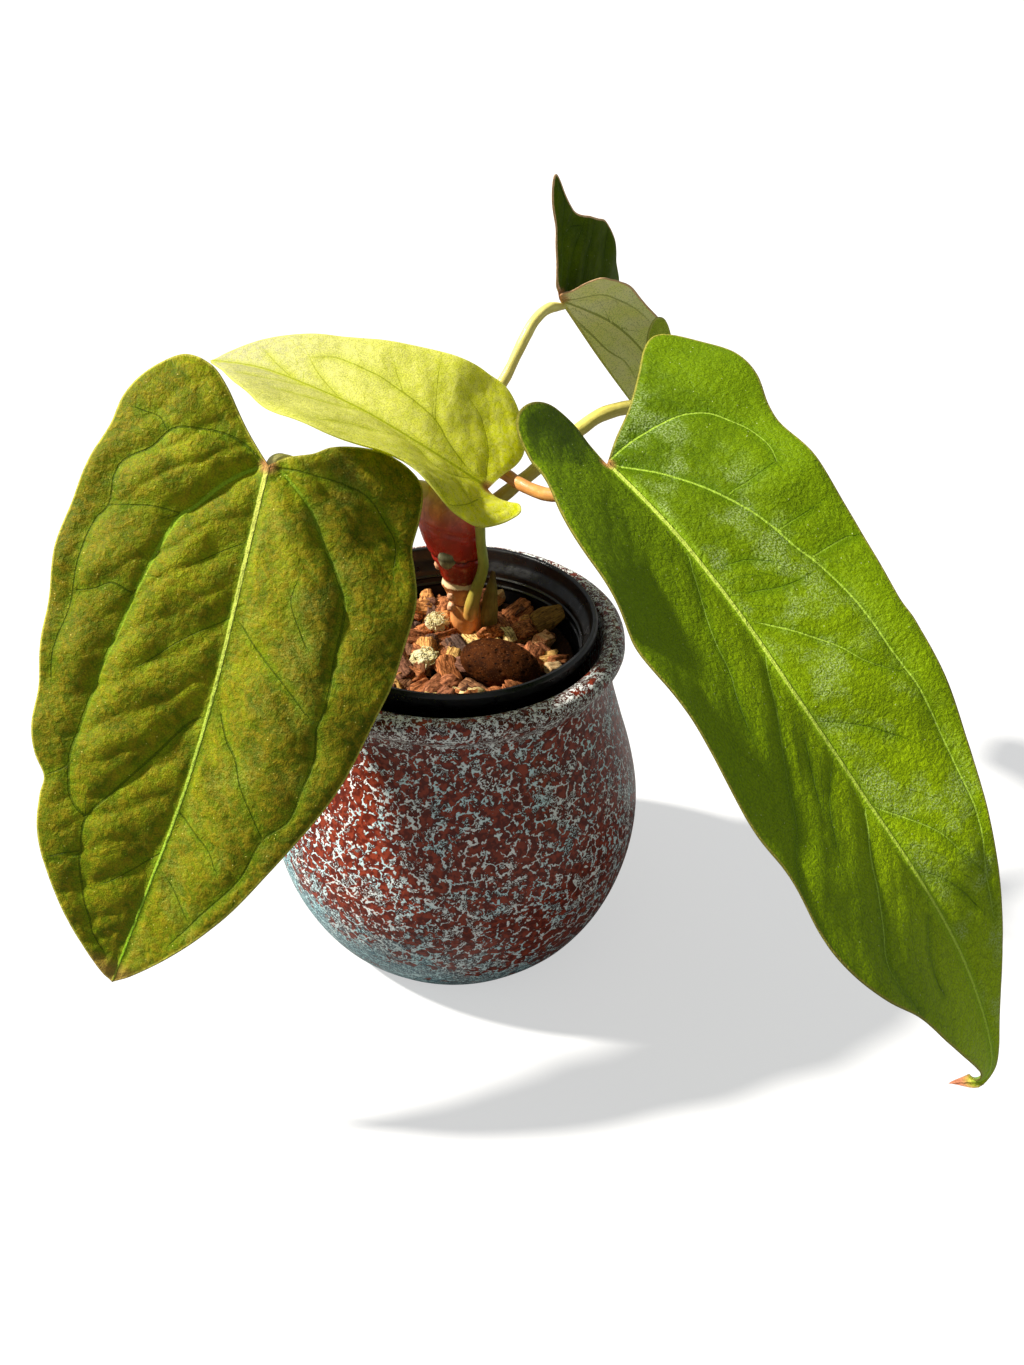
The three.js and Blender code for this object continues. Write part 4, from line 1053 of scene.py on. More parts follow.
SEAT_ALONG = 4.0
petioles = {
    "a": dict(
        line=[
            [-4, 18, 175], [-8.4, 16.5, 180.4], [-13.4, 12, 184.6], [-24, 4, 190.3], [-37.6, -8, 198.5],
            [-48, -18, 207], [-53.4, -24.4, 211.4]],
        drop=1.5, radii=[3.4, 3, 2.6, 2.4, 2.3, 2.2, 2.1, 1.9, 1.4],
        stops=[(0.0, tone(176, 110, 60)), (0.12, tone(226, 200, 110)), (0.4, tone(246, 238, 180)),
               (0.8, tone(240, 232, 160)), (1.0, tone(220, 216, 130))],
        shade=tone(214, 194, 104)),
    "b": dict(
        line=[
            [5, 16, 177], [9, 18.6, 184], [13.4, 18.6, 188.6], [18.2, 14, 189.6], [24.2, 7, 188.8],
            [30, 0, 189.4], [35, -6, 191.2], [42.6, -12, 194.3], [48.6, -16, 200.6]],
        drop=1.2, radii=[3, 2.6, 2.4, 2.3, 2.3, 2.3, 2.3, 2.3, 2.2, 1.9, 1.4],
        stops=[(0.0, tone(190, 100, 56)), (0.3, tone(222, 150, 76)), (0.7, tone(216, 160, 84)),
               (1.0, tone(206, 190, 100))],
        shade=tone(164, 100, 50)),
    "c": dict(
        line=[
            [6.4, 15, 130], [7, 13, 136], [8.6, 12, 143], [11.2, 10.6, 153.3], [10.6, 9, 163.5],
            [10.4, 6, 173.5], [11, 3, 181.5]],
        drop=1.2, radii=[2.9, 2.6, 2.2, 1.9, 1.8, 1.8, 1.9, 1.7, 1.3],
        stops=[(0.0, tone(232, 146, 80)), (0.14, tone(196, 164, 74)), (0.3, tone(170, 174, 66)),
               (0.7, tone(198, 208, 96)), (1.0, tone(216, 222, 110))],
        shade=tone(142, 146, 54)),
    "d": dict(
        line=[
            [-3, 21, 181], [0, 25, 187], [5, 29, 195], [12, 33, 206], [18.4, 37.6, 215], [23.6, 41.4, 225],
            [28.2, 45.4, 232.6], [33.2, 50, 236]],
        drop=1.3, radii=[3, 2.6, 2.3, 2.2, 2.1, 2, 2, 2, 1.8, 1.3],
        stops=[(0.0, tone(190, 120, 64)), (0.2, tone(226, 200, 100)), (0.6, tone(244, 230, 130)),
               (1.0, tone(244, 236, 140))],
        shade=tone(206, 186, 86)),
    "e": dict(
        line=[
            [4, 19, 168], [10.4, 21, 171.4], [16, 22, 174.9], [22.8, 24, 180.1], [29.6, 26, 185.1],
            [37.4, 30, 192], [45.3, 34, 197.3], [52, 37.6, 201], [58.5, 40.6, 202.2], [65, 43.6, 202.4]],
        drop=1.6, radii=[3.2, 2.9, 2.7, 2.6, 2.5, 2.5, 2.5, 2.5, 2.5, 2.6, 2.1, 1.4],
        stops=[(0.0, tone(190, 110, 56)), (0.2, tone(190, 166, 70)), (0.6, tone(240, 224, 110)),
               (1.0, tone(246, 232, 128))],
        shade=tone(196, 176, 70)),
}


def petiole_bulge(t, turn, place):
    """Slow lumps, and a swelling 0.25 exp(-((t - 0.93) / 0.04)^2) where the stalk meets its blade."""
    return 0.16 * rough(place, 5, 5) + 0.25 * np.exp(-(((t - 0.93) / 0.04) ** 2))


def add_petioles(skin):
    """Each stalk keeps the CAD line and ends inside its blade's rib, just past the sinus."""
    for name, stalk in petioles.items():
        leaf = leaves[name]
        centre, _, normal, _ = blade_frame(leaf, np.array([SEAT_ALONG]), leaf["left"]["sweep"])
        line = stalk["line"] + [(centre - normal * stalk["drop"])[0].tolist()]
        part = tube(line, stalk["radii"], 110, 24, bulge=petiole_bulge)
        mesh = tube_mesh("petiole_" + name, [(*part, Path(line).length)])
        material = stalk_material(
            "petiole_%s_skin" % name, skin, stalk["stops"], stalk["shade"], tone(236, 226, 190))
        add_piece("stalk_" + name, mesh, material, ["petiole_" + name])


stem_line = [
    [5, 22, 106], [4.6, 21, 120], [4.2, 20, 131], [2.6, 19, 141.5], [2.4, 18.5, 149], [1.4, 18, 158],
    [0, 18, 166], [-1.4, 18, 175], [-1.6, 18, 183]]
stem_radii = [5.5, 6, 6.4, 5.5, 7, 9.2, 11.6, 11.8, 8.5]
stem_roots = [
    [[5, 22, 112], [-4, 18, 104], [-12, 14, 90], [-16, 6, 70]],
    [[6, 22, 110], [14, 26, 100], [20, 24, 84], [22, 14, 62]],
    [[5, 21, 110], [7, 12, 98], [2, 0, 84], [-6, -12, 70]],
    [[4, 23, 110], [0, 30, 96], [4, 34, 78], [-4, 30, 58]]]


def egg(centre, radii, rows, sides, push=None):
    """An ellipsoid: centre + radii (sin v cos u, sin v sin u, cos v), with `push` added along the ray."""
    v = np.linspace(0, np.pi, rows + 1)[:, None]
    u = np.linspace(0, 2 * np.pi, sides, endpoint=False)[None]
    ray = np.stack([np.sin(v) * np.cos(u), np.sin(v) * np.sin(u), np.cos(v) + 0 * u], -1)
    points = ray * np.array(radii, float)
    if push is not None:
        points = points + ray * push(points)[..., None]
    return points + np.array(centre, float), v / np.pi + 0 * u, u + 0 * v


def bump_at(height, centre, width):
    """exp(-((height - centre) / width)^2)."""
    return np.exp(-(((height - centre) / width) ** 2))


def stem_bulge(t, turn, place):
    """Radius change on the stem: rings at two old leaf scars, a groove in the swollen base, a slanted
    groove near the top, and lumps."""
    x, z = place[..., 0], place[..., 2]
    slant = z + 0.1 * (x - 3)
    scar = 0.5 * bump_at(slant, 141.5, 1.1) - 0.55 * bump_at(slant, 143.8, 0.9)
    groove = -0.5 * bump_at(z, 133.6, 0.5)
    upper_scar = 0.35 * bump_at(slant, 153, 1.4) - 0.4 * bump_at(slant, 155.2, 0.8)
    top_groove = -0.7 * bump_at(z + 0.3 * x, 167.5, 0.8)
    return scar + groove + upper_scar + top_groove + 0.45 * rough(place, 7, 11)


def root_bulge(t, turn, place):
    """Small lumps on a buried root."""
    return 0.25 * rough(place, 3, 21)


# The orange base stops are the base's own orange pushed to full brightness, as painted light on a base that
# lies in shade.
stem_stops = [
    (0.0, tone(190, 130, 80)), (0.24, tone(240, 160, 90)), (0.36, tone(255, 190, 112)),
    (0.44, tone(250, 176, 100)), (0.5, tone(140, 38, 14)), (0.6, tone(166, 40, 20)),
    (0.72, tone(226, 60, 44)), (0.84, tone(250, 104, 84)), (0.92, tone(252, 160, 100)),
    (1.0, tone(244, 206, 110))]
stem_bands = [
    (143.2, 1.3, tone(250, 222, 170)), (155.6, 0.5, tone(96, 26, 14)), (134.0, 0.35, tone(150, 70, 40))]


def add_stem(skin):
    """The stem and its four buried roots in one mesh: orange below a pale scar, red above it."""
    stem_reach, root_reach = 78.0, 50.0
    body = tube(stem_line, stem_radii, 170, 64, (0, 1, 0), 0.85, 0.35, stem_bulge)
    roots = [tube(line, [2.6, 2.2, 1.8, 1.2], 30, 14, bulge=root_bulge) for line in stem_roots]
    mesh = tube_mesh("stem", [(*body, stem_reach)] + [(*root, root_reach) for root in roots])
    material = stalk_material(
        "stem_skin", skin, stem_stops, tone(132, 36, 22), tone(244, 200, 140), (0.2, 0.36), 0.3, stem_bands)
    add_piece("stem_body", mesh, material, ["stem"])
    add_buds(skin)


def add_buds(skin):
    """Two buds on the old nodes and two root knobs at the swollen base: lumpy eggs."""
    green = [
        (0.0, tone(206, 196, 150)), (0.3, tone(104, 104, 72)), (0.42, tone(190, 186, 140)),
        (0.54, tone(96, 94, 64)), (0.66, tone(176, 170, 122)), (0.8, tone(104, 100, 70)),
        (1.0, tone(170, 160, 110))]
    tan = [(0.0, tone(240, 190, 140)), (1.0, tone(226, 140, 100))]
    buds = [
        ("bud_green", [-1.6, 11.4, 157], [3.6, 2.6, 5], green),
        ("bud_tan", [-4.4, 17, 151], [2.6, 2.2, 2.4], tan),
        ("knob_high", [-0.4, 16, 138], [2.2, 2, 2.4], tan), ("knob_low", [-0.8, 17, 132.5], [2, 2, 2], tan)]
    for name, centre, radii, stops in buds:
        part = egg(centre, radii, 26, 36, lambda p: 0.3 * rough(p, 1.6, 31))
        mesh = tube_mesh(name, [(*part, 6.0)])
        material = stalk_material(
            name + "_skin", skin, stops, tone(84, 66, 44), tone(246, 232, 190), (0.4, 0.6), 0.4)
        add_piece(name, mesh, material, ["stem"])


def sheath_bulge(t, turn, place):
    """Thirteen fine ridges along the sheath, which turn a little, and lumps."""
    return 0.12 * np.sin(turn * 13 + 2 * t) + 0.25 * rough(place, 4, 41)


def add_sheath(skin):
    """The dry sheath beside the stem: a squeezed tube that tapers to a point."""
    line = [[11.6, 20.5, 113], [12.4, 19.6, 122], [13.4, 18.2, 132], [14.4, 17.2, 141], [14.8, 16.8, 148]]
    part = tube(line, [3.6, 4.2, 3.8, 2.6, 0.7], 70, 48, (0.62, 0.78, 0), 0.55, bulge=sheath_bulge)
    mesh = tube_mesh("sheath", [(*part, 36.0)])
    stops = [
        (0.0, tone(136, 100, 50)), (0.4, tone(168, 150, 70)), (0.8, tone(150, 140, 64)),
        (1.0, tone(116, 94, 50))]
    material = stalk_material(
        "sheath_skin", skin, stops, tone(94, 70, 34), tone(170, 150, 90), (0.4, 0.6), 0.2)
    add_piece("sheath", mesh, material, ["cataphyll"])


# Pots.

POT_HEIGHT = 135.2
cachepot_profile = [
    [52.4, 1.6], [59, 10], [64.9, 21], [69.4, 34], [71.9, 48], [71.9, 62], [69.2, 78], [64.9, 93],
    [60.8, 107], [58.7, 118], [59.4, 124], [62.6, 127.8], [63.8, 131], [62.6, 134.2], [59.6, POT_HEIGHT],
    [56.6, 134.2], [55.3, 131], [54.5, 125], [54.5, 117], [57.6, 103], [63.2, 84], [67.2, 64], [67.3, 48],
    [63.6, 30], [56.4, 15], [50, 10.6]]
nursery_profile = [
    [37, 11.5], [43, 76], [47.6, 128.6], [49.2, 130.2], [51.7, 133.4], [52.5, 135], [52.5, 138],
    [51.8, 139.1], [50.6, 138.9], [49.9, 134.2], [47.2, 130.6], [47, 128.8], [46.3, 128.2], [46.8, 127.4],
    [46.7, 125.6], [46, 125], [46.5, 124.2], [46.2, 121], [41.7, 76], [35.8, 13.6]]
NURSERY_CENTRE = [1, 1.5, 0]
NURSERY_BASE = 10.3
CACHEPOT_FLOOR = 10


def turned(name, profile, sides, centre=(0, 0, 0), uneven=0.0):
    """A profile [radius, height] turned about Z, from the axis back to it; `uneven` moves the wall by a slow
    random field, as in thrown clay."""
    profile = np.asarray(profile, float)
    turn = np.linspace(0, 2 * np.pi, sides, endpoint=False)
    r = profile[:, None, 0]
    points = np.stack([r * np.cos(turn), r * np.sin(turn), profile[:, None, 1] + 0 * turn], -1)
    if uneven:
        ray = unit(points * [1, 1, 0])
        points = points + ray * (uneven * lumps(points / 22, 61) * step(r, 5, 40))[..., None]
    return new_mesh(name, points + np.array(centre, float), quads(*points.shape[:2], round_columns=True))


def fine_profile(points, rows):
    """The Catmull-Rom curve through profile points, read at even lengths."""
    path = Path(points)
    return path.at(np.linspace(0, path.length, rows))


def flat_disc(start, end, rows=8):
    """Profile points straight from one [radius, height] to another, without the last."""
    return np.linspace(start, end, rows, endpoint=False)


def make_glaze_web():
    """The glaze's broken web: nested winding lines where a wandering field crosses even levels, gathered in
    clusters, single cracks between them, strewn small beads whose white is a painted highlight, and rust
    islands of two tones."""
    n, given = effect("glaze web", {"Glaze Place": 0, "Cover": 0.5})
    place = given["Glaze Place"]
    bent = n.wandering(place, 1.9, 2.0, 0.55, 3.4)
    levels = n.maths("FRACT", n.maths("MULTIPLY", n.cloud(bent, 3.0, 1.0, 0.5), 7.0))
    winding = n.fade(n.maths("ABSOLUTE", n.maths("SUBTRACT", levels, 0.5)), 0.12, 0.18)
    patch = n.cloud(place, 5.0, 3.0, 0.6, 0.6)
    drift = n.swing(n.cloud(place, 20.0, 2.0), 0.5)
    cover = n.maths("ADD", n.maths("ADD", patch, drift), n.maths("SUBTRACT", given["Cover"], 0.5))
    cluster = n.smooth(cover, 0.5, 0.53)
    crack = n.fade(n.cells(bent, 4.8, "DISTANCE_TO_EDGE")["Distance"], 0.05, 0.08)
    crack = n.product(crack, n.smooth(n.cloud(place, 2.6, 2.0, 0.6), 0.47, 0.52))
    web = n.maths("MAXIMUM", n.product(winding, cluster), crack)
    strewn = n.smooth(n.cloud(place, 16.0, 2.0), 0.48, 0.56)
    bead_glints = n.product(n.dots(place, 1.9, rim=(0.2, 0.25), pick=(0.6, 0.62), channel=2), strewn)
    return n.give({
        "Web": web,
        "Cluster": cluster,
        "BeadGlints": bead_glints,
        "Island": n.smooth(n.cloud(place, 2.2, 2.0, 0.5), 0.42, 0.6),
        "Height": n.total((web, 0.3), (bead_glints, 0.3), (n.cloud(place, 1.6, 3.0), 0.3), (cluster, -0.08))})


def glaze_material():
    """Rust-red glaze with clusters of winding turquoise-white lines that close up at the foot and on the
    rim."""
    material, n, surface, _ = new_material(
        "glaze", Specular_IOR_Level=0.3, Coat_Weight=0.12, Coat_Roughness=0.12)
    place = n.own_place()
    x, _, z = n.parts(place)
    drift = n.swing(n.cloud(place, 18.0, 3.0), 60.0)
    aslant = n.maths("ADD", n.maths("ADD", z, n.maths("MULTIPLY", x, 0.45)), drift)
    foot = n.fade(aslant, 6.0, 44.0)
    rim = n.smooth(z, 120.0, 125.0)
    cover = n.maths("ADD", n.total((foot, 0.24), (rim, 0.13)), 0.44)
    marks = n.group(make_glaze_web(), Glaze_Place=place, Cover=cover)
    slow = n.smooth(n.cloud(place, 14.0, 3.0, 0.6), 0.35, 0.65)
    body = n.mix(marks["Island"], tone(98, 28, 12), tone(154, 60, 34))
    body = n.lay(body, slow, 0.25, tone(88, 34, 18))
    ground = n.mix(slow, tone(64, 46, 42), tone(80, 38, 26))
    ground = n.lay(ground, foot, 0.85, tone(72, 150, 166))
    body = n.lay(body, marks["Cluster"], 0.8, ground)
    light = n.mix(slow, tone(214, 246, 248), tone(255, 255, 250))
    light = n.lay(light, foot, 0.6, tone(186, 246, 250))
    light = n.lay(light, rim, 0.8, tone(255, 255, 250))
    colour = n.lay(body, marks["Web"], 0.95, light)
    # Painted highlight: the small beads are laid in near white as their glints.
    colour = n.lay(colour, marks["BeadGlints"], 0.9, tone(250, 246, 234))
    worn_foot = n.smooth(z, 1.0, 5.0, 0.7, 0.0)
    colour = n.mix(worn_foot, colour, tone(118, 146, 146))
    dress(n, surface, colour, n.smooth(marks["Web"], 0.0, 1.0, 0.3, 0.42), n.bump(marks["Height"], 1.0))
    return material


def plastic_material():
    """Black plastic with a slow grey haze and uneven gloss."""
    material, n, surface, _ = new_material("black_plastic", Specular_IOR_Level=0.5)
    place = n.own_place()
    haze = n.smooth(n.cloud(place, 9.0, 4.0, 0.6), 0.35, 0.7)
    gloss = n.smooth(n.cloud(place, 3.0, 3.0), 0.3, 0.7, 0.26, 0.44)
    fine = n.bump(n.cloud(place, 0.5, 2.0), 0.05)
    dress(n, surface, n.mix(haze, tone(9, 9, 10), tone(24, 24, 26)), gloss, fine)
    return material


def cachepot_mesh():
    """Flat base with a small bevel, the wall up and over the rim and down inside, and the flat inner
    floor."""
    wall = fine_profile(cachepot_profile, 190)
    floor = CACHEPOT_FLOOR
    profile = np.concatenate([
        flat_disc([0, 0], [48.7, 0]), [[48.7, 0], [50.2, 0.15], [51.4, 0.7]], wall,
        [[46, floor]], flat_disc([45.9, floor], [0, floor]), [[0, floor]]])
    return turned("cachepot", profile, 220, uneven=0.25)


def nursery_pot_mesh():
    """Flat base, the straight stretches of the wall with its stepped rim, and the flat inner floor."""
    wall = np.array(nursery_profile, float)
    dense = np.concatenate([np.linspace(p, q, 5, endpoint=False) for p, q in zip(wall[:-1], wall[1:])])
    base, floor = NURSERY_BASE, NURSERY_BASE + 1.7
    profile = np.concatenate([
        flat_disc([0, base], [35.6, base]), [[35.6, base], [36.6, base + 0.4]], dense,
        [wall[-1], [34.8, floor]], flat_disc([34.5, floor], [0, floor]), [[0, floor]]])
    return turned("nursery_pot", profile, 180, NURSERY_CENTRE)


def add_pots():
    """The glazed pot, and inside it the black pot with its drain holes."""
    add_piece("glazed_pot", cachepot_mesh(), glaze_material(), ["cachepot"])
    pot = add_piece("inner_pot", nursery_pot_mesh(), plastic_material(), ["nursery_pot"])
    bore_holes(pot)


def bore_holes(pot):
    """Six round drain holes through the inner pot's floor, on a ring of 26 mm."""
    count, ring, radius, depth, first_turn = 6, 26, 3.4, 6, 0.3
    work = bmesh.new()
    for i in range(count):
        turn = i / count * 2 * math.pi + first_turn
        across = ring * math.cos(turn) + NURSERY_CENTRE[0]
        back = ring * math.sin(turn) + NURSERY_CENTRE[1]
        place = Vector((across, back, NURSERY_BASE + 1)) * MM
        bmesh.ops.create_cone(
            work, cap_ends=True, segments=28, radius1=radius * MM, radius2=radius * MM, depth=depth * MM,
            matrix=Matrix.Translation(place))
    cutter_mesh = bpy.data.meshes.new("bores")
    work.to_mesh(cutter_mesh)
    work.free()
    cutter = bpy.data.objects.new("bores", cutter_mesh)
    bpy.context.scene.collection.objects.link(cutter)
    cut = pot.modifiers.new("bores", "BOOLEAN")
    cut.object = cutter
    cut.solver = "EXACT"
    depsgraph = bpy.context.evaluated_depsgraph_get()
    pot.data = bpy.data.meshes.new_from_object(pot.evaluated_get(depsgraph))
    pot.modifiers.clear()
    bpy.data.objects.remove(cutter)


# The bark mix and what lies on it.

def turn_matrices(degrees):
    """Rotation matrices for turns about X, then Y, then Z, in degrees, one for each row."""
    x, y, z = np.radians(np.asarray(degrees, float)).T
    one, nil = np.ones_like(x), np.zeros_like(x)
    about_x = np.array([[one, nil, nil], [nil, np.cos(x), -np.sin(x)], [nil, np.sin(x), np.cos(x)]])
    about_y = np.array([[np.cos(y), nil, np.sin(y)], [nil, one, nil], [-np.sin(y), nil, np.cos(y)]])
    about_z = np.array([[np.cos(z), -np.sin(z), nil], [np.sin(z), np.cos(z), nil], [nil, nil, one]])
    about_x, about_y, about_z = (m.transpose(2, 0, 1) for m in (about_x, about_y, about_z))
    return about_z @ about_y @ about_x


def chip_mesh(name, centres, sizes, turns, seed, rows, sides, cuts, chipped, fibre):
    """Many broken chips. Each is the space inside a box and some random planes: along a ray the surface is
    at the least h / (ray . n) over the planes. It is scaled to its size, roughened by a random field and
    grooved along its length. Fields: `grain`, the place in the chip's own axes, and `shade`, one random
    number a chip."""
    centres, sizes = np.asarray(centres, float), np.asarray(sizes, float)
    count = len(centres)
    chance = np.random.default_rng(seed)
    v = np.linspace(0, np.pi, rows + 1)[:, None]
    u = np.linspace(0, 2 * np.pi, sides, endpoint=False)[None]
    ray = np.stack([np.cos(v) + 0 * u, np.sin(v) * np.cos(u), np.sin(v) * np.sin(u)], -1)
    box = np.concatenate([np.eye(3), -np.eye(3)])
    facing = np.concatenate([np.tile(box, (count, 1, 1)), unit(chance.normal(0, 1, (count, cuts, 3)))], 1)
    facing = unit(facing + chance.normal(0, 0.12, facing.shape))
    height = np.concatenate([
        chance.uniform(0.8, 1, (count, 6)), chance.uniform(0.85, 1.15, (count, cuts))], 1)
    lean = np.einsum("rcj,nkj->nrck", ray, facing)
    reach = np.where(lean > 0.05, height[:, None, None] / np.maximum(lean, 0.05), 9.0).min(-1)
    local = ray[None] * reach[..., None] * sizes[:, None, None] / 2
    own = np.arange(count)[:, None, None, None] * 31.7
    least = sizes.min(1)[:, None, None]
    ragged = chipped * least * rough(local + own, 2.6, seed, 3)
    groove = fibre * rough(local * [0.12, 1, 1] + own, 1.1, seed + 9, 2)
    local = local + ray[None] * (ragged + groove)[..., None]
    for end in (0, -1):
        local[:, end] = local[:, end].mean(1, keepdims=True)
    turned_points = np.einsum("nij,nrcj->nrci", turn_matrices(turns), local)
    verts = turned_points + centres[:, None, None]
    one = quads(rows + 1, sides, round_columns=True)
    faces = (one[None] + (np.arange(count) * (rows + 1) * sides)[:, None, None]).reshape(-1, 4)
    shade = np.broadcast_to(chance.uniform(0, 1, count)[:, None, None], local.shape[:3])
    fields = {"grain": (local + own).reshape(-1, 3), "shade": shade.reshape(-1)}
    return new_mesh(name, verts.reshape(-1, 3), faces, fields)


def make_fibre():
    """Wood and husk: fibres along the piece's own x, dark pores between them."""
    n, given = effect("fibre", {"Fibre Size": 0.8})
    grain = n.field("grain")["Vector"]
    long_way = n.vectors("MULTIPLY", grain, (0.1, 1.0, 1.0))
    fibre = n.cloud(long_way, given["Fibre Size"], 4.0, 0.65, 0.4)
    pore = n.cloud(grain, 1.4, 3.0, 0.6)
    return n.give({
        "Fibre": n.smooth(fibre, 0.32, 0.68),
        "Pore": n.smooth(pore, 0.5, 0.68),
        "Shade": n.field("shade")["Fac"],
        "Height": n.total((fibre, 0.5), (pore, -0.3))})


def fibre_material(name, fibre, low, high, dark, size=0.8, tints=None):
    """Fibrous matter: low to high tones along the fibres, dark in the pores, each chip tinted by its
    shade."""
    material, n, surface, _ = new_material(name, Specular_IOR_Level=0.1)
    marks = n.group(fibre, Fibre_Size=size)
    colour = n.mix(marks["Fibre"], low, high)
    if tints:
        colour = n.mix(0.92, colour, n.ramp(marks["Shade"], tints), "MULTIPLY")
    colour = n.lay(colour, marks["Pore"], 0.7, dark)
    dress(n, surface, colour, n.smooth(marks["Fibre"], 0.0, 1.0, 0.7, 0.95), n.bump(marks["Height"], 0.8))
    return material


MIX_TOP = 120.8
MIX_RADIUS = 45.2


def bed_mesh():
    """The bed: a turned solid that fills the inner pot, its top lifted by a random field away from the
    wall."""
    base = 12.3
    rings = np.linspace(MIX_RADIUS - 0.8, 0, 46)
    profile = np.concatenate([
        flat_disc([0, base], [34.4, base]), [[35.4, base + 1.6]],
        flat_disc([41.3, 76], [MIX_RADIUS, MIX_TOP - 2.2]),
        np.stack([rings, MIX_TOP - 1.6 + 0 * rings], -1)])
    turn = np.linspace(0, 2 * np.pi, 150, endpoint=False)
    r = profile[:, None, 0]
    points = np.stack([r * np.cos(turn), r * np.sin(turn), profile[:, None, 1] + 0 * turn], -1)
    top = step(points[..., 2], MIX_TOP - 4, MIX_TOP - 1.7) * step(MIX_RADIUS - 1 - r, 0, 3)
    lift = top * (1.6 * rough(points * [1, 1, 0], 6, 71) - 0.5)
    points[..., 2] += np.where(r > 0.5, lift, lift[-1].mean())
    points = points + NURSERY_CENTRE
    fields = {"grain": points.reshape(-1, 3), "shade": np.full(points.shape[0] * points.shape[1], 0.4)}
    return new_mesh("mix_bed", points, quads(*points.shape[:2], round_columns=True), fields)


def chip_places():
    """Centres, sizes and turns of the loose chips, on a golden-angle spiral. They keep clear of the pebble
    and of the stem."""
    count, golden_angle = 130, 2.39996
    pebble_clear, stem_clear = 11.5, 8
    chance = np.random.default_rng(23)
    order = np.arange(count)
    reach = (MIX_RADIUS - 6) * np.sqrt((order + 0.5) / count)
    angle = order * golden_angle + 0.25 * chance.uniform(-1, 1, count)
    large = chance.uniform(0, 1, count) ** 1.5
    sizes = np.stack([6 + 12 * large, 4.5 + 5.5 * large, 3 + 3 * large], -1)
    sizes = sizes * chance.uniform(0.85, 1.15, (count, 3))
    height = MIX_TOP - 1.0 + 3.2 * chance.uniform(0, 1, count)
    centres = np.stack([reach * np.cos(angle) + 1, reach * np.sin(angle) + 1.5, height], -1)
    turns = np.stack([chance.uniform(low, high, count) for low, high in ((-35, 35), (-30, 30), (0, 360))], -1)
    clear = np.hypot(centres[:, 0] - 18, (centres[:, 1] + 11.5) * 1.3) > pebble_clear
    clear &= np.hypot(centres[:, 0] - 5, centres[:, 1] - 20) > stem_clear
    return centres[clear], sizes[clear], turns[clear]


def add_mix(fibre):
    """The dark bed, and the chips that lie on it in browns, tans and creams."""
    soil = fibre_material("bark_mix", fibre, tone(34, 20, 12), tone(70, 42, 24), tone(14, 8, 5), 0.9)
    add_piece("mix_bed", bed_mesh(), soil, ["potting_mix"])
    tints = [
        (0.0, tone(76, 34, 8)), (0.2, tone(160, 84, 26)), (0.42, tone(222, 130, 50)),
        (0.58, tone(104, 50, 14)), (0.76, tone(238, 160, 74)), (0.92, tone(252, 210, 116)),
        (1.0, tone(255, 238, 176))]
    bark = fibre_material(
        "bark_chips", fibre, tone(116, 92, 66), tone(255, 250, 236), tone(34, 16, 6), tints=tints)
    mesh = chip_mesh(
        "bark_chips", *chip_places(), seed=81, rows=18, sides=28, cuts=5, chipped=0.15, fibre=0.5)
    add_piece("bark_chips", mesh, bark, ["potting_mix"])


loose_pieces = [
    ("bark_plate", [35.4, 20.6, 125.6], [14, 11, 3.4], [20, -18, 24], "bark",
     (tone(96, 66, 28), tone(176, 134, 66), tone(56, 34, 14))),
    ("husk_chip_pink", [34, 9, 123.4], [8, 6, 5], [10, 8, 40], "husk",
     (tone(190, 120, 74), tone(250, 196, 140), tone(120, 66, 38))),
    ("husk_chip_tan", [16.4, 36.4, 125], [6, 4, 7], [10, -10, 20], "husk",
     (tone(168, 126, 80), tone(214, 178, 126), tone(112, 80, 48))),
    ("husk_chip_rim", [37.4, -9.4, 123.2], [7.5, 5, 2.6], [8, 12, 30], "husk",
     (tone(170, 130, 88), tone(220, 190, 140), tone(112, 80, 50))),
]


def add_loose_pieces(fibre):
    """Four pieces that the photograph shows one by one."""
    for name, at, size, turn, slot, (low, high, dark) in loose_pieces:
        mesh = chip_mesh(
            name, [at], [size], [turn], seed=90 + len(name), rows=46, sides=60, cuts=6, chipped=0.07,
            fibre=0.22)
        material = fibre_material(name, fibre, low, high, dark, 0.7)
        add_piece(name + "_detail", mesh, material, [name])


def moss_material():
    """Pale dry moss, yellow and cream in patches, brown in its pits."""
    material, n, surface, _ = new_material("moss", Specular_IOR_Level=0.2, Sheen_Weight=0.3)
    place = n.own_place()
    patch = n.smooth(n.cloud(place, 2.4, 4.0, 0.65), 0.35, 0.65)
    colour = n.mix(patch, tone(206, 184, 110), tone(255, 246, 196))
    pits = n.smooth(n.cloud(place, 1.1, 3.0, 0.7), 0.52, 0.7)
    colour = n.lay(colour, pits, 0.6, tone(120, 92, 50))
    dress(n, surface, colour, 0.9, n.bump(n.cloud(place, 0.6, 4.0, 0.7), 0.8))
    return material


def closed(grid):
    """A grid whose first and last rows are each drawn to one point."""
    for end in (0, -1):
        grid[end] = grid[end].mean(0)
    return grid


def moss_strand(at, radii, chance):
    """A thin tube that leaves the tuft along a random ray and curls to one side."""
    ray = unit(chance.normal(0, 1, 3) * [1, 1, 0.7] + [0, 0, 0.5])
    foot = np.array(at) + ray * np.array(radii) * 0.85
    side = unit(np.cross(ray, chance.normal(0, 1, 3)))
    line = [foot, foot + ray * 0.9 + side * 0.4, foot + ray * 1.3 + side * 1.3, foot + ray * 1.1 + side * 2.2]
    return tube(line, [0.28, 0.24, 0.18, 0.08], 7, 5)


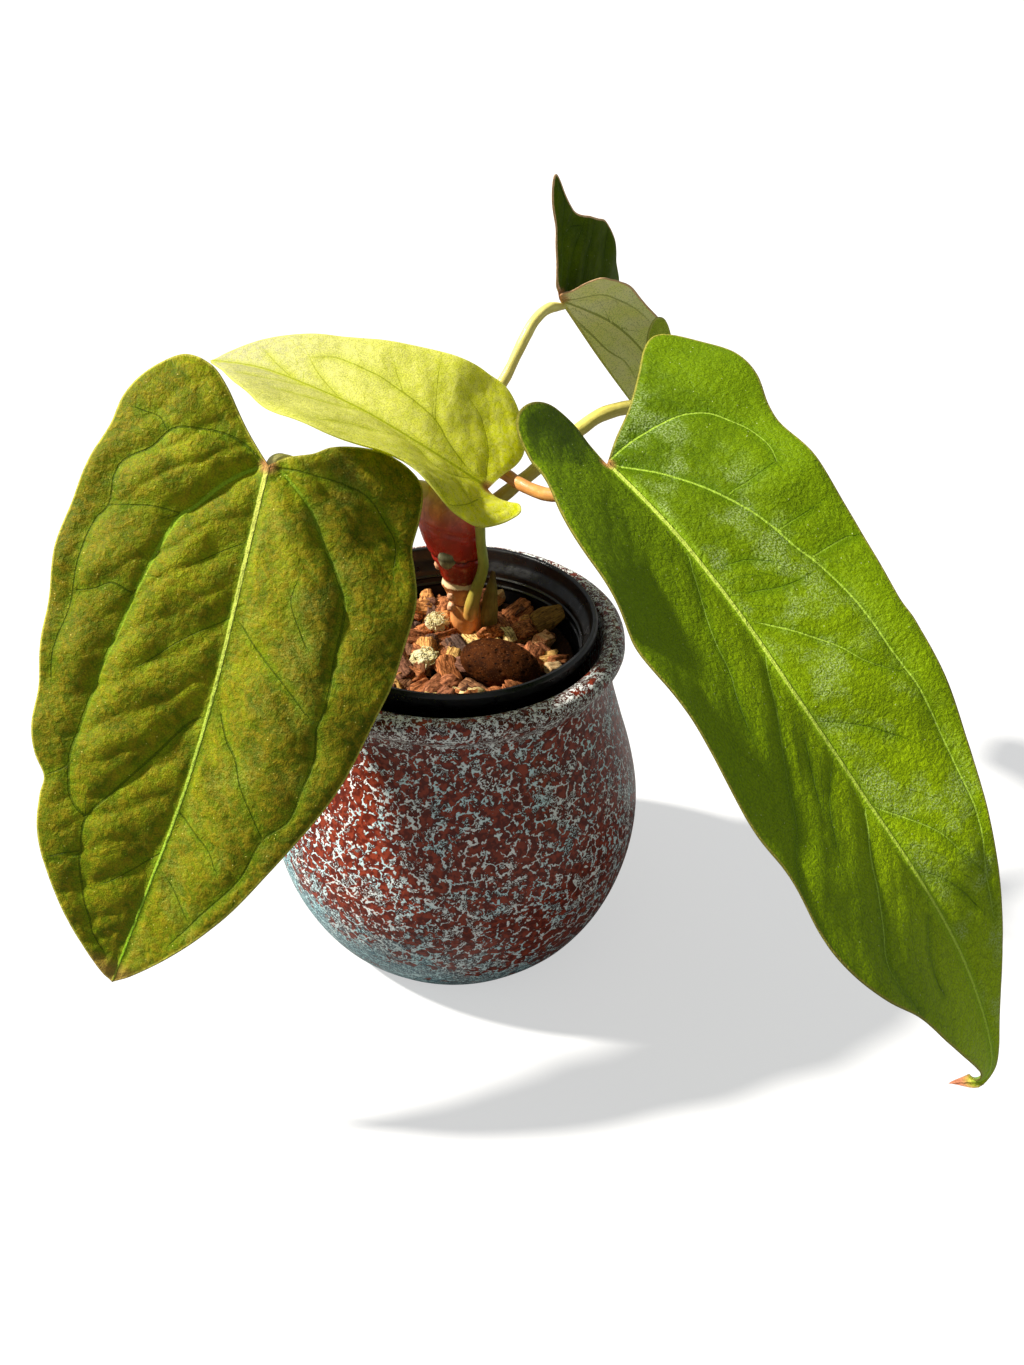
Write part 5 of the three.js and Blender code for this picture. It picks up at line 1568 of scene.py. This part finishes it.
def add_moss():
    """Each tuft is a lumpy egg with short curled strands out of it."""
    strands = 46
    material = moss_material()
    tufts = [
        ("moss_tuft_back", [-6.6, 18.4, 124.4], [4.0, 3.5, 3.2]),
        ("moss_tuft_front", [-9.8, -7, 124.6], [5.0, 4.5, 3.3])]
    for name, at, radii in tufts:
        body, v, _ = egg(at, radii, 60, 90, lambda p: 0.9 * rough(p, 2.2, 51, 4))
        verts, faces = [closed(body).reshape(-1, 3)], [quads(*v.shape, 0, round_columns=True)]
        start = v.size
        chance = np.random.default_rng(len(name))
        for _ in range(strands):
            points, t, _ = moss_strand(at, radii, chance)
            verts.append(points.reshape(-1, 3))
            faces.append(quads(*t.shape, start, round_columns=True))
            start += t.size
        mesh = new_mesh(name, np.concatenate(verts), np.concatenate(faces))
        add_piece(name + "_detail", mesh, material, [name])


def clay_material():
    """Dark fired clay: two slow browns, darker stains, pale dust and black pits that match the bump."""
    material, n, surface, _ = new_material("fired_clay", Specular_IOR_Level=0.05)
    place = n.own_place()
    slow = n.smooth(n.cloud(place, 5.0, 4.0, 0.6), 0.35, 0.65)
    colour = n.mix(slow, tone(44, 18, 2), tone(74, 36, 8))
    stains = n.smooth(n.cloud(place, 0.9, 3.0, 0.7), 0.52, 0.66)
    colour = n.lay(colour, stains, 0.75, tone(30, 14, 8))
    dust = n.smooth(n.cloud(place, 0.5, 2.0), 0.6, 0.72)
    colour = n.lay(colour, dust, 0.35, tone(160, 108, 66))
    long_place = n.vectors("MULTIPLY", place, (0.7, 1.3, 1.0))
    pits = n.dots(long_place, 1.7, rim=(0.14, 0.24), pick=(0.4, 0.44), channel=0)
    colour = n.lay(colour, pits, 0.9, tone(14, 6, 3))
    height = n.total((n.cloud(place, 0.6, 4.0, 0.7), 0.3), (pits, -0.5))
    dress(n, surface, colour, 0.72, n.bump(height, 1.0))
    return material


def add_pebble():
    """An egg with pits: each sinks by 0.9 size exp(-(d / (0.7 size))^2) about a seeded place."""
    radii = [15.4, 9.8, 8.6]
    count = 230
    chance = np.random.default_rng(12)
    pits = unit(chance.normal(0, 1, (count, 3))) * radii
    sizes = chance.uniform(0.3, 0.75, count)

    def pitted(points):
        """Slow lumps, less the deepest pit at each point."""
        gap = np.linalg.norm(points[..., None, :] - pits, axis=-1)
        sunk = (0.9 * sizes * np.exp(-((gap / (0.7 * sizes)) ** 2))).max(-1)
        return 0.12 * rough(points, 8, 63) - sunk

    body, v, _ = egg([0, 0, 0], radii, 130, 150, pitted)
    body = closed(body) @ turn_matrices([[0, 6, -20]])[0].T + [18, -11.5, 125.6]
    mesh = new_mesh("clay_pebble", body, quads(*v.shape, round_columns=True))
    add_piece("pebble", mesh, clay_material(), ["clay_pebble"])


# Floor, light and camera.

def add_floor():
    """A pale floor. It sends little light back up at the object, so that the undersides stay deep."""
    mesh = bpy.data.meshes.new("floor")
    half = 6.0
    corners = [(-half, -half, 0), (half, -half, 0), (half, half, 0), (-half, half, 0)]
    mesh.from_pydata(corners, [], [(0, 1, 2, 3)])
    floor = bpy.data.objects.new("floor", mesh)
    bpy.context.scene.collection.objects.link(floor)
    material, n, surface, output = new_material("floor", Roughness=0.9, Specular_IOR_Level=0.1)
    grain = n.cloud(n.own_place(), 60.0, 3.0)
    n.put(surface.inputs["Base Color"], n.mix(grain, (0.84, 0.84, 0.84, 1), (0.88, 0.88, 0.88, 1)))
    dull = n.add("ShaderNodeBsdfDiffuse")
    dull.inputs["Color"].default_value = (0.22, 0.22, 0.22, 1)
    bright = n.add("ShaderNodeEmission")
    bright.inputs["Strength"].default_value = 1.0
    seen = n.blend(0.55, surface.outputs[0], bright.outputs[0])
    to_camera = n.add("ShaderNodeLightPath").outputs["Is Camera Ray"]
    n.put(output.inputs[0], n.blend(to_camera, dull.outputs[0], seen))
    mesh.materials.append(material)


def add_world():
    """White where the camera sees it, soft bluish light for the object."""
    world = bpy.data.worlds.new("studio")
    world.use_nodes = True
    world.node_tree.nodes.clear()
    n = Nodes(world.node_tree)
    seen = n.add("ShaderNodeBackground")
    seen.inputs["Color"].default_value = (1, 1, 1, 1)
    soft = n.add("ShaderNodeBackground")
    soft.inputs["Color"].default_value = (0.93, 0.97, 1.0, 1)
    soft.inputs["Strength"].default_value = 0.33
    to_camera = n.add("ShaderNodeLightPath").outputs["Is Camera Ray"]
    light = n.blend(to_camera, soft.outputs[0], seen.outputs[0])
    n.put(n.add("ShaderNodeOutputWorld").inputs[0], light)
    bpy.context.scene.world = world


def add_light():
    """A warm sun from the left, a little behind, and the world's soft light."""
    sun = bpy.data.lights.new("key", "SUN")
    sun.energy = 7.2
    sun.angle = math.radians(3.5)
    sun.color = (1.0, 0.965, 0.9)
    key = bpy.data.objects.new("key", sun)
    to_sun = Vector((-0.73, 0.06, 0.68))
    key.rotation_euler = to_sun.to_track_quat("Z", "Y").to_euler()
    bpy.context.scene.collection.objects.link(key)
    add_world()


def add_camera():
    """The photograph's viewpoint: 34.7 degrees down, turned 0.74 degrees about its own axis."""
    eye = Vector((22.3, -403.3, 389.0)) * MM
    down, roll = math.radians(34.7), math.radians(0.74)
    ahead = Vector((0, math.cos(down), -math.sin(down)))
    right = Vector((math.cos(roll), math.sin(roll) * math.sin(down), math.sin(roll) * math.cos(down)))
    up = Vector((-math.sin(roll), math.cos(roll) * math.sin(down), math.cos(roll) * math.cos(down)))
    lens = bpy.data.cameras.new("view")
    lens.sensor_width = 36
    lens.lens = 34.29
    lens.clip_start = 0.01
    lens.clip_end = 50
    camera = bpy.data.objects.new("view", lens)
    turn = Matrix((right, up, -ahead)).transposed().to_4x4()
    camera.matrix_world = Matrix.Translation(eye) @ turn
    bpy.context.scene.collection.objects.link(camera)
    bpy.context.scene.camera = camera
    bpy.context.scene.view_settings.view_transform = "Standard"


add_camera()
add_light()
add_floor()
add_leaves()
stalk_skin = make_stalk_skin()
add_petioles(stalk_skin)
add_stem(stalk_skin)
add_sheath(stalk_skin)
add_pots()
fibre_group = make_fibre()
add_mix(fibre_group)
add_loose_pieces(fibre_group)
add_moss()
add_pebble()
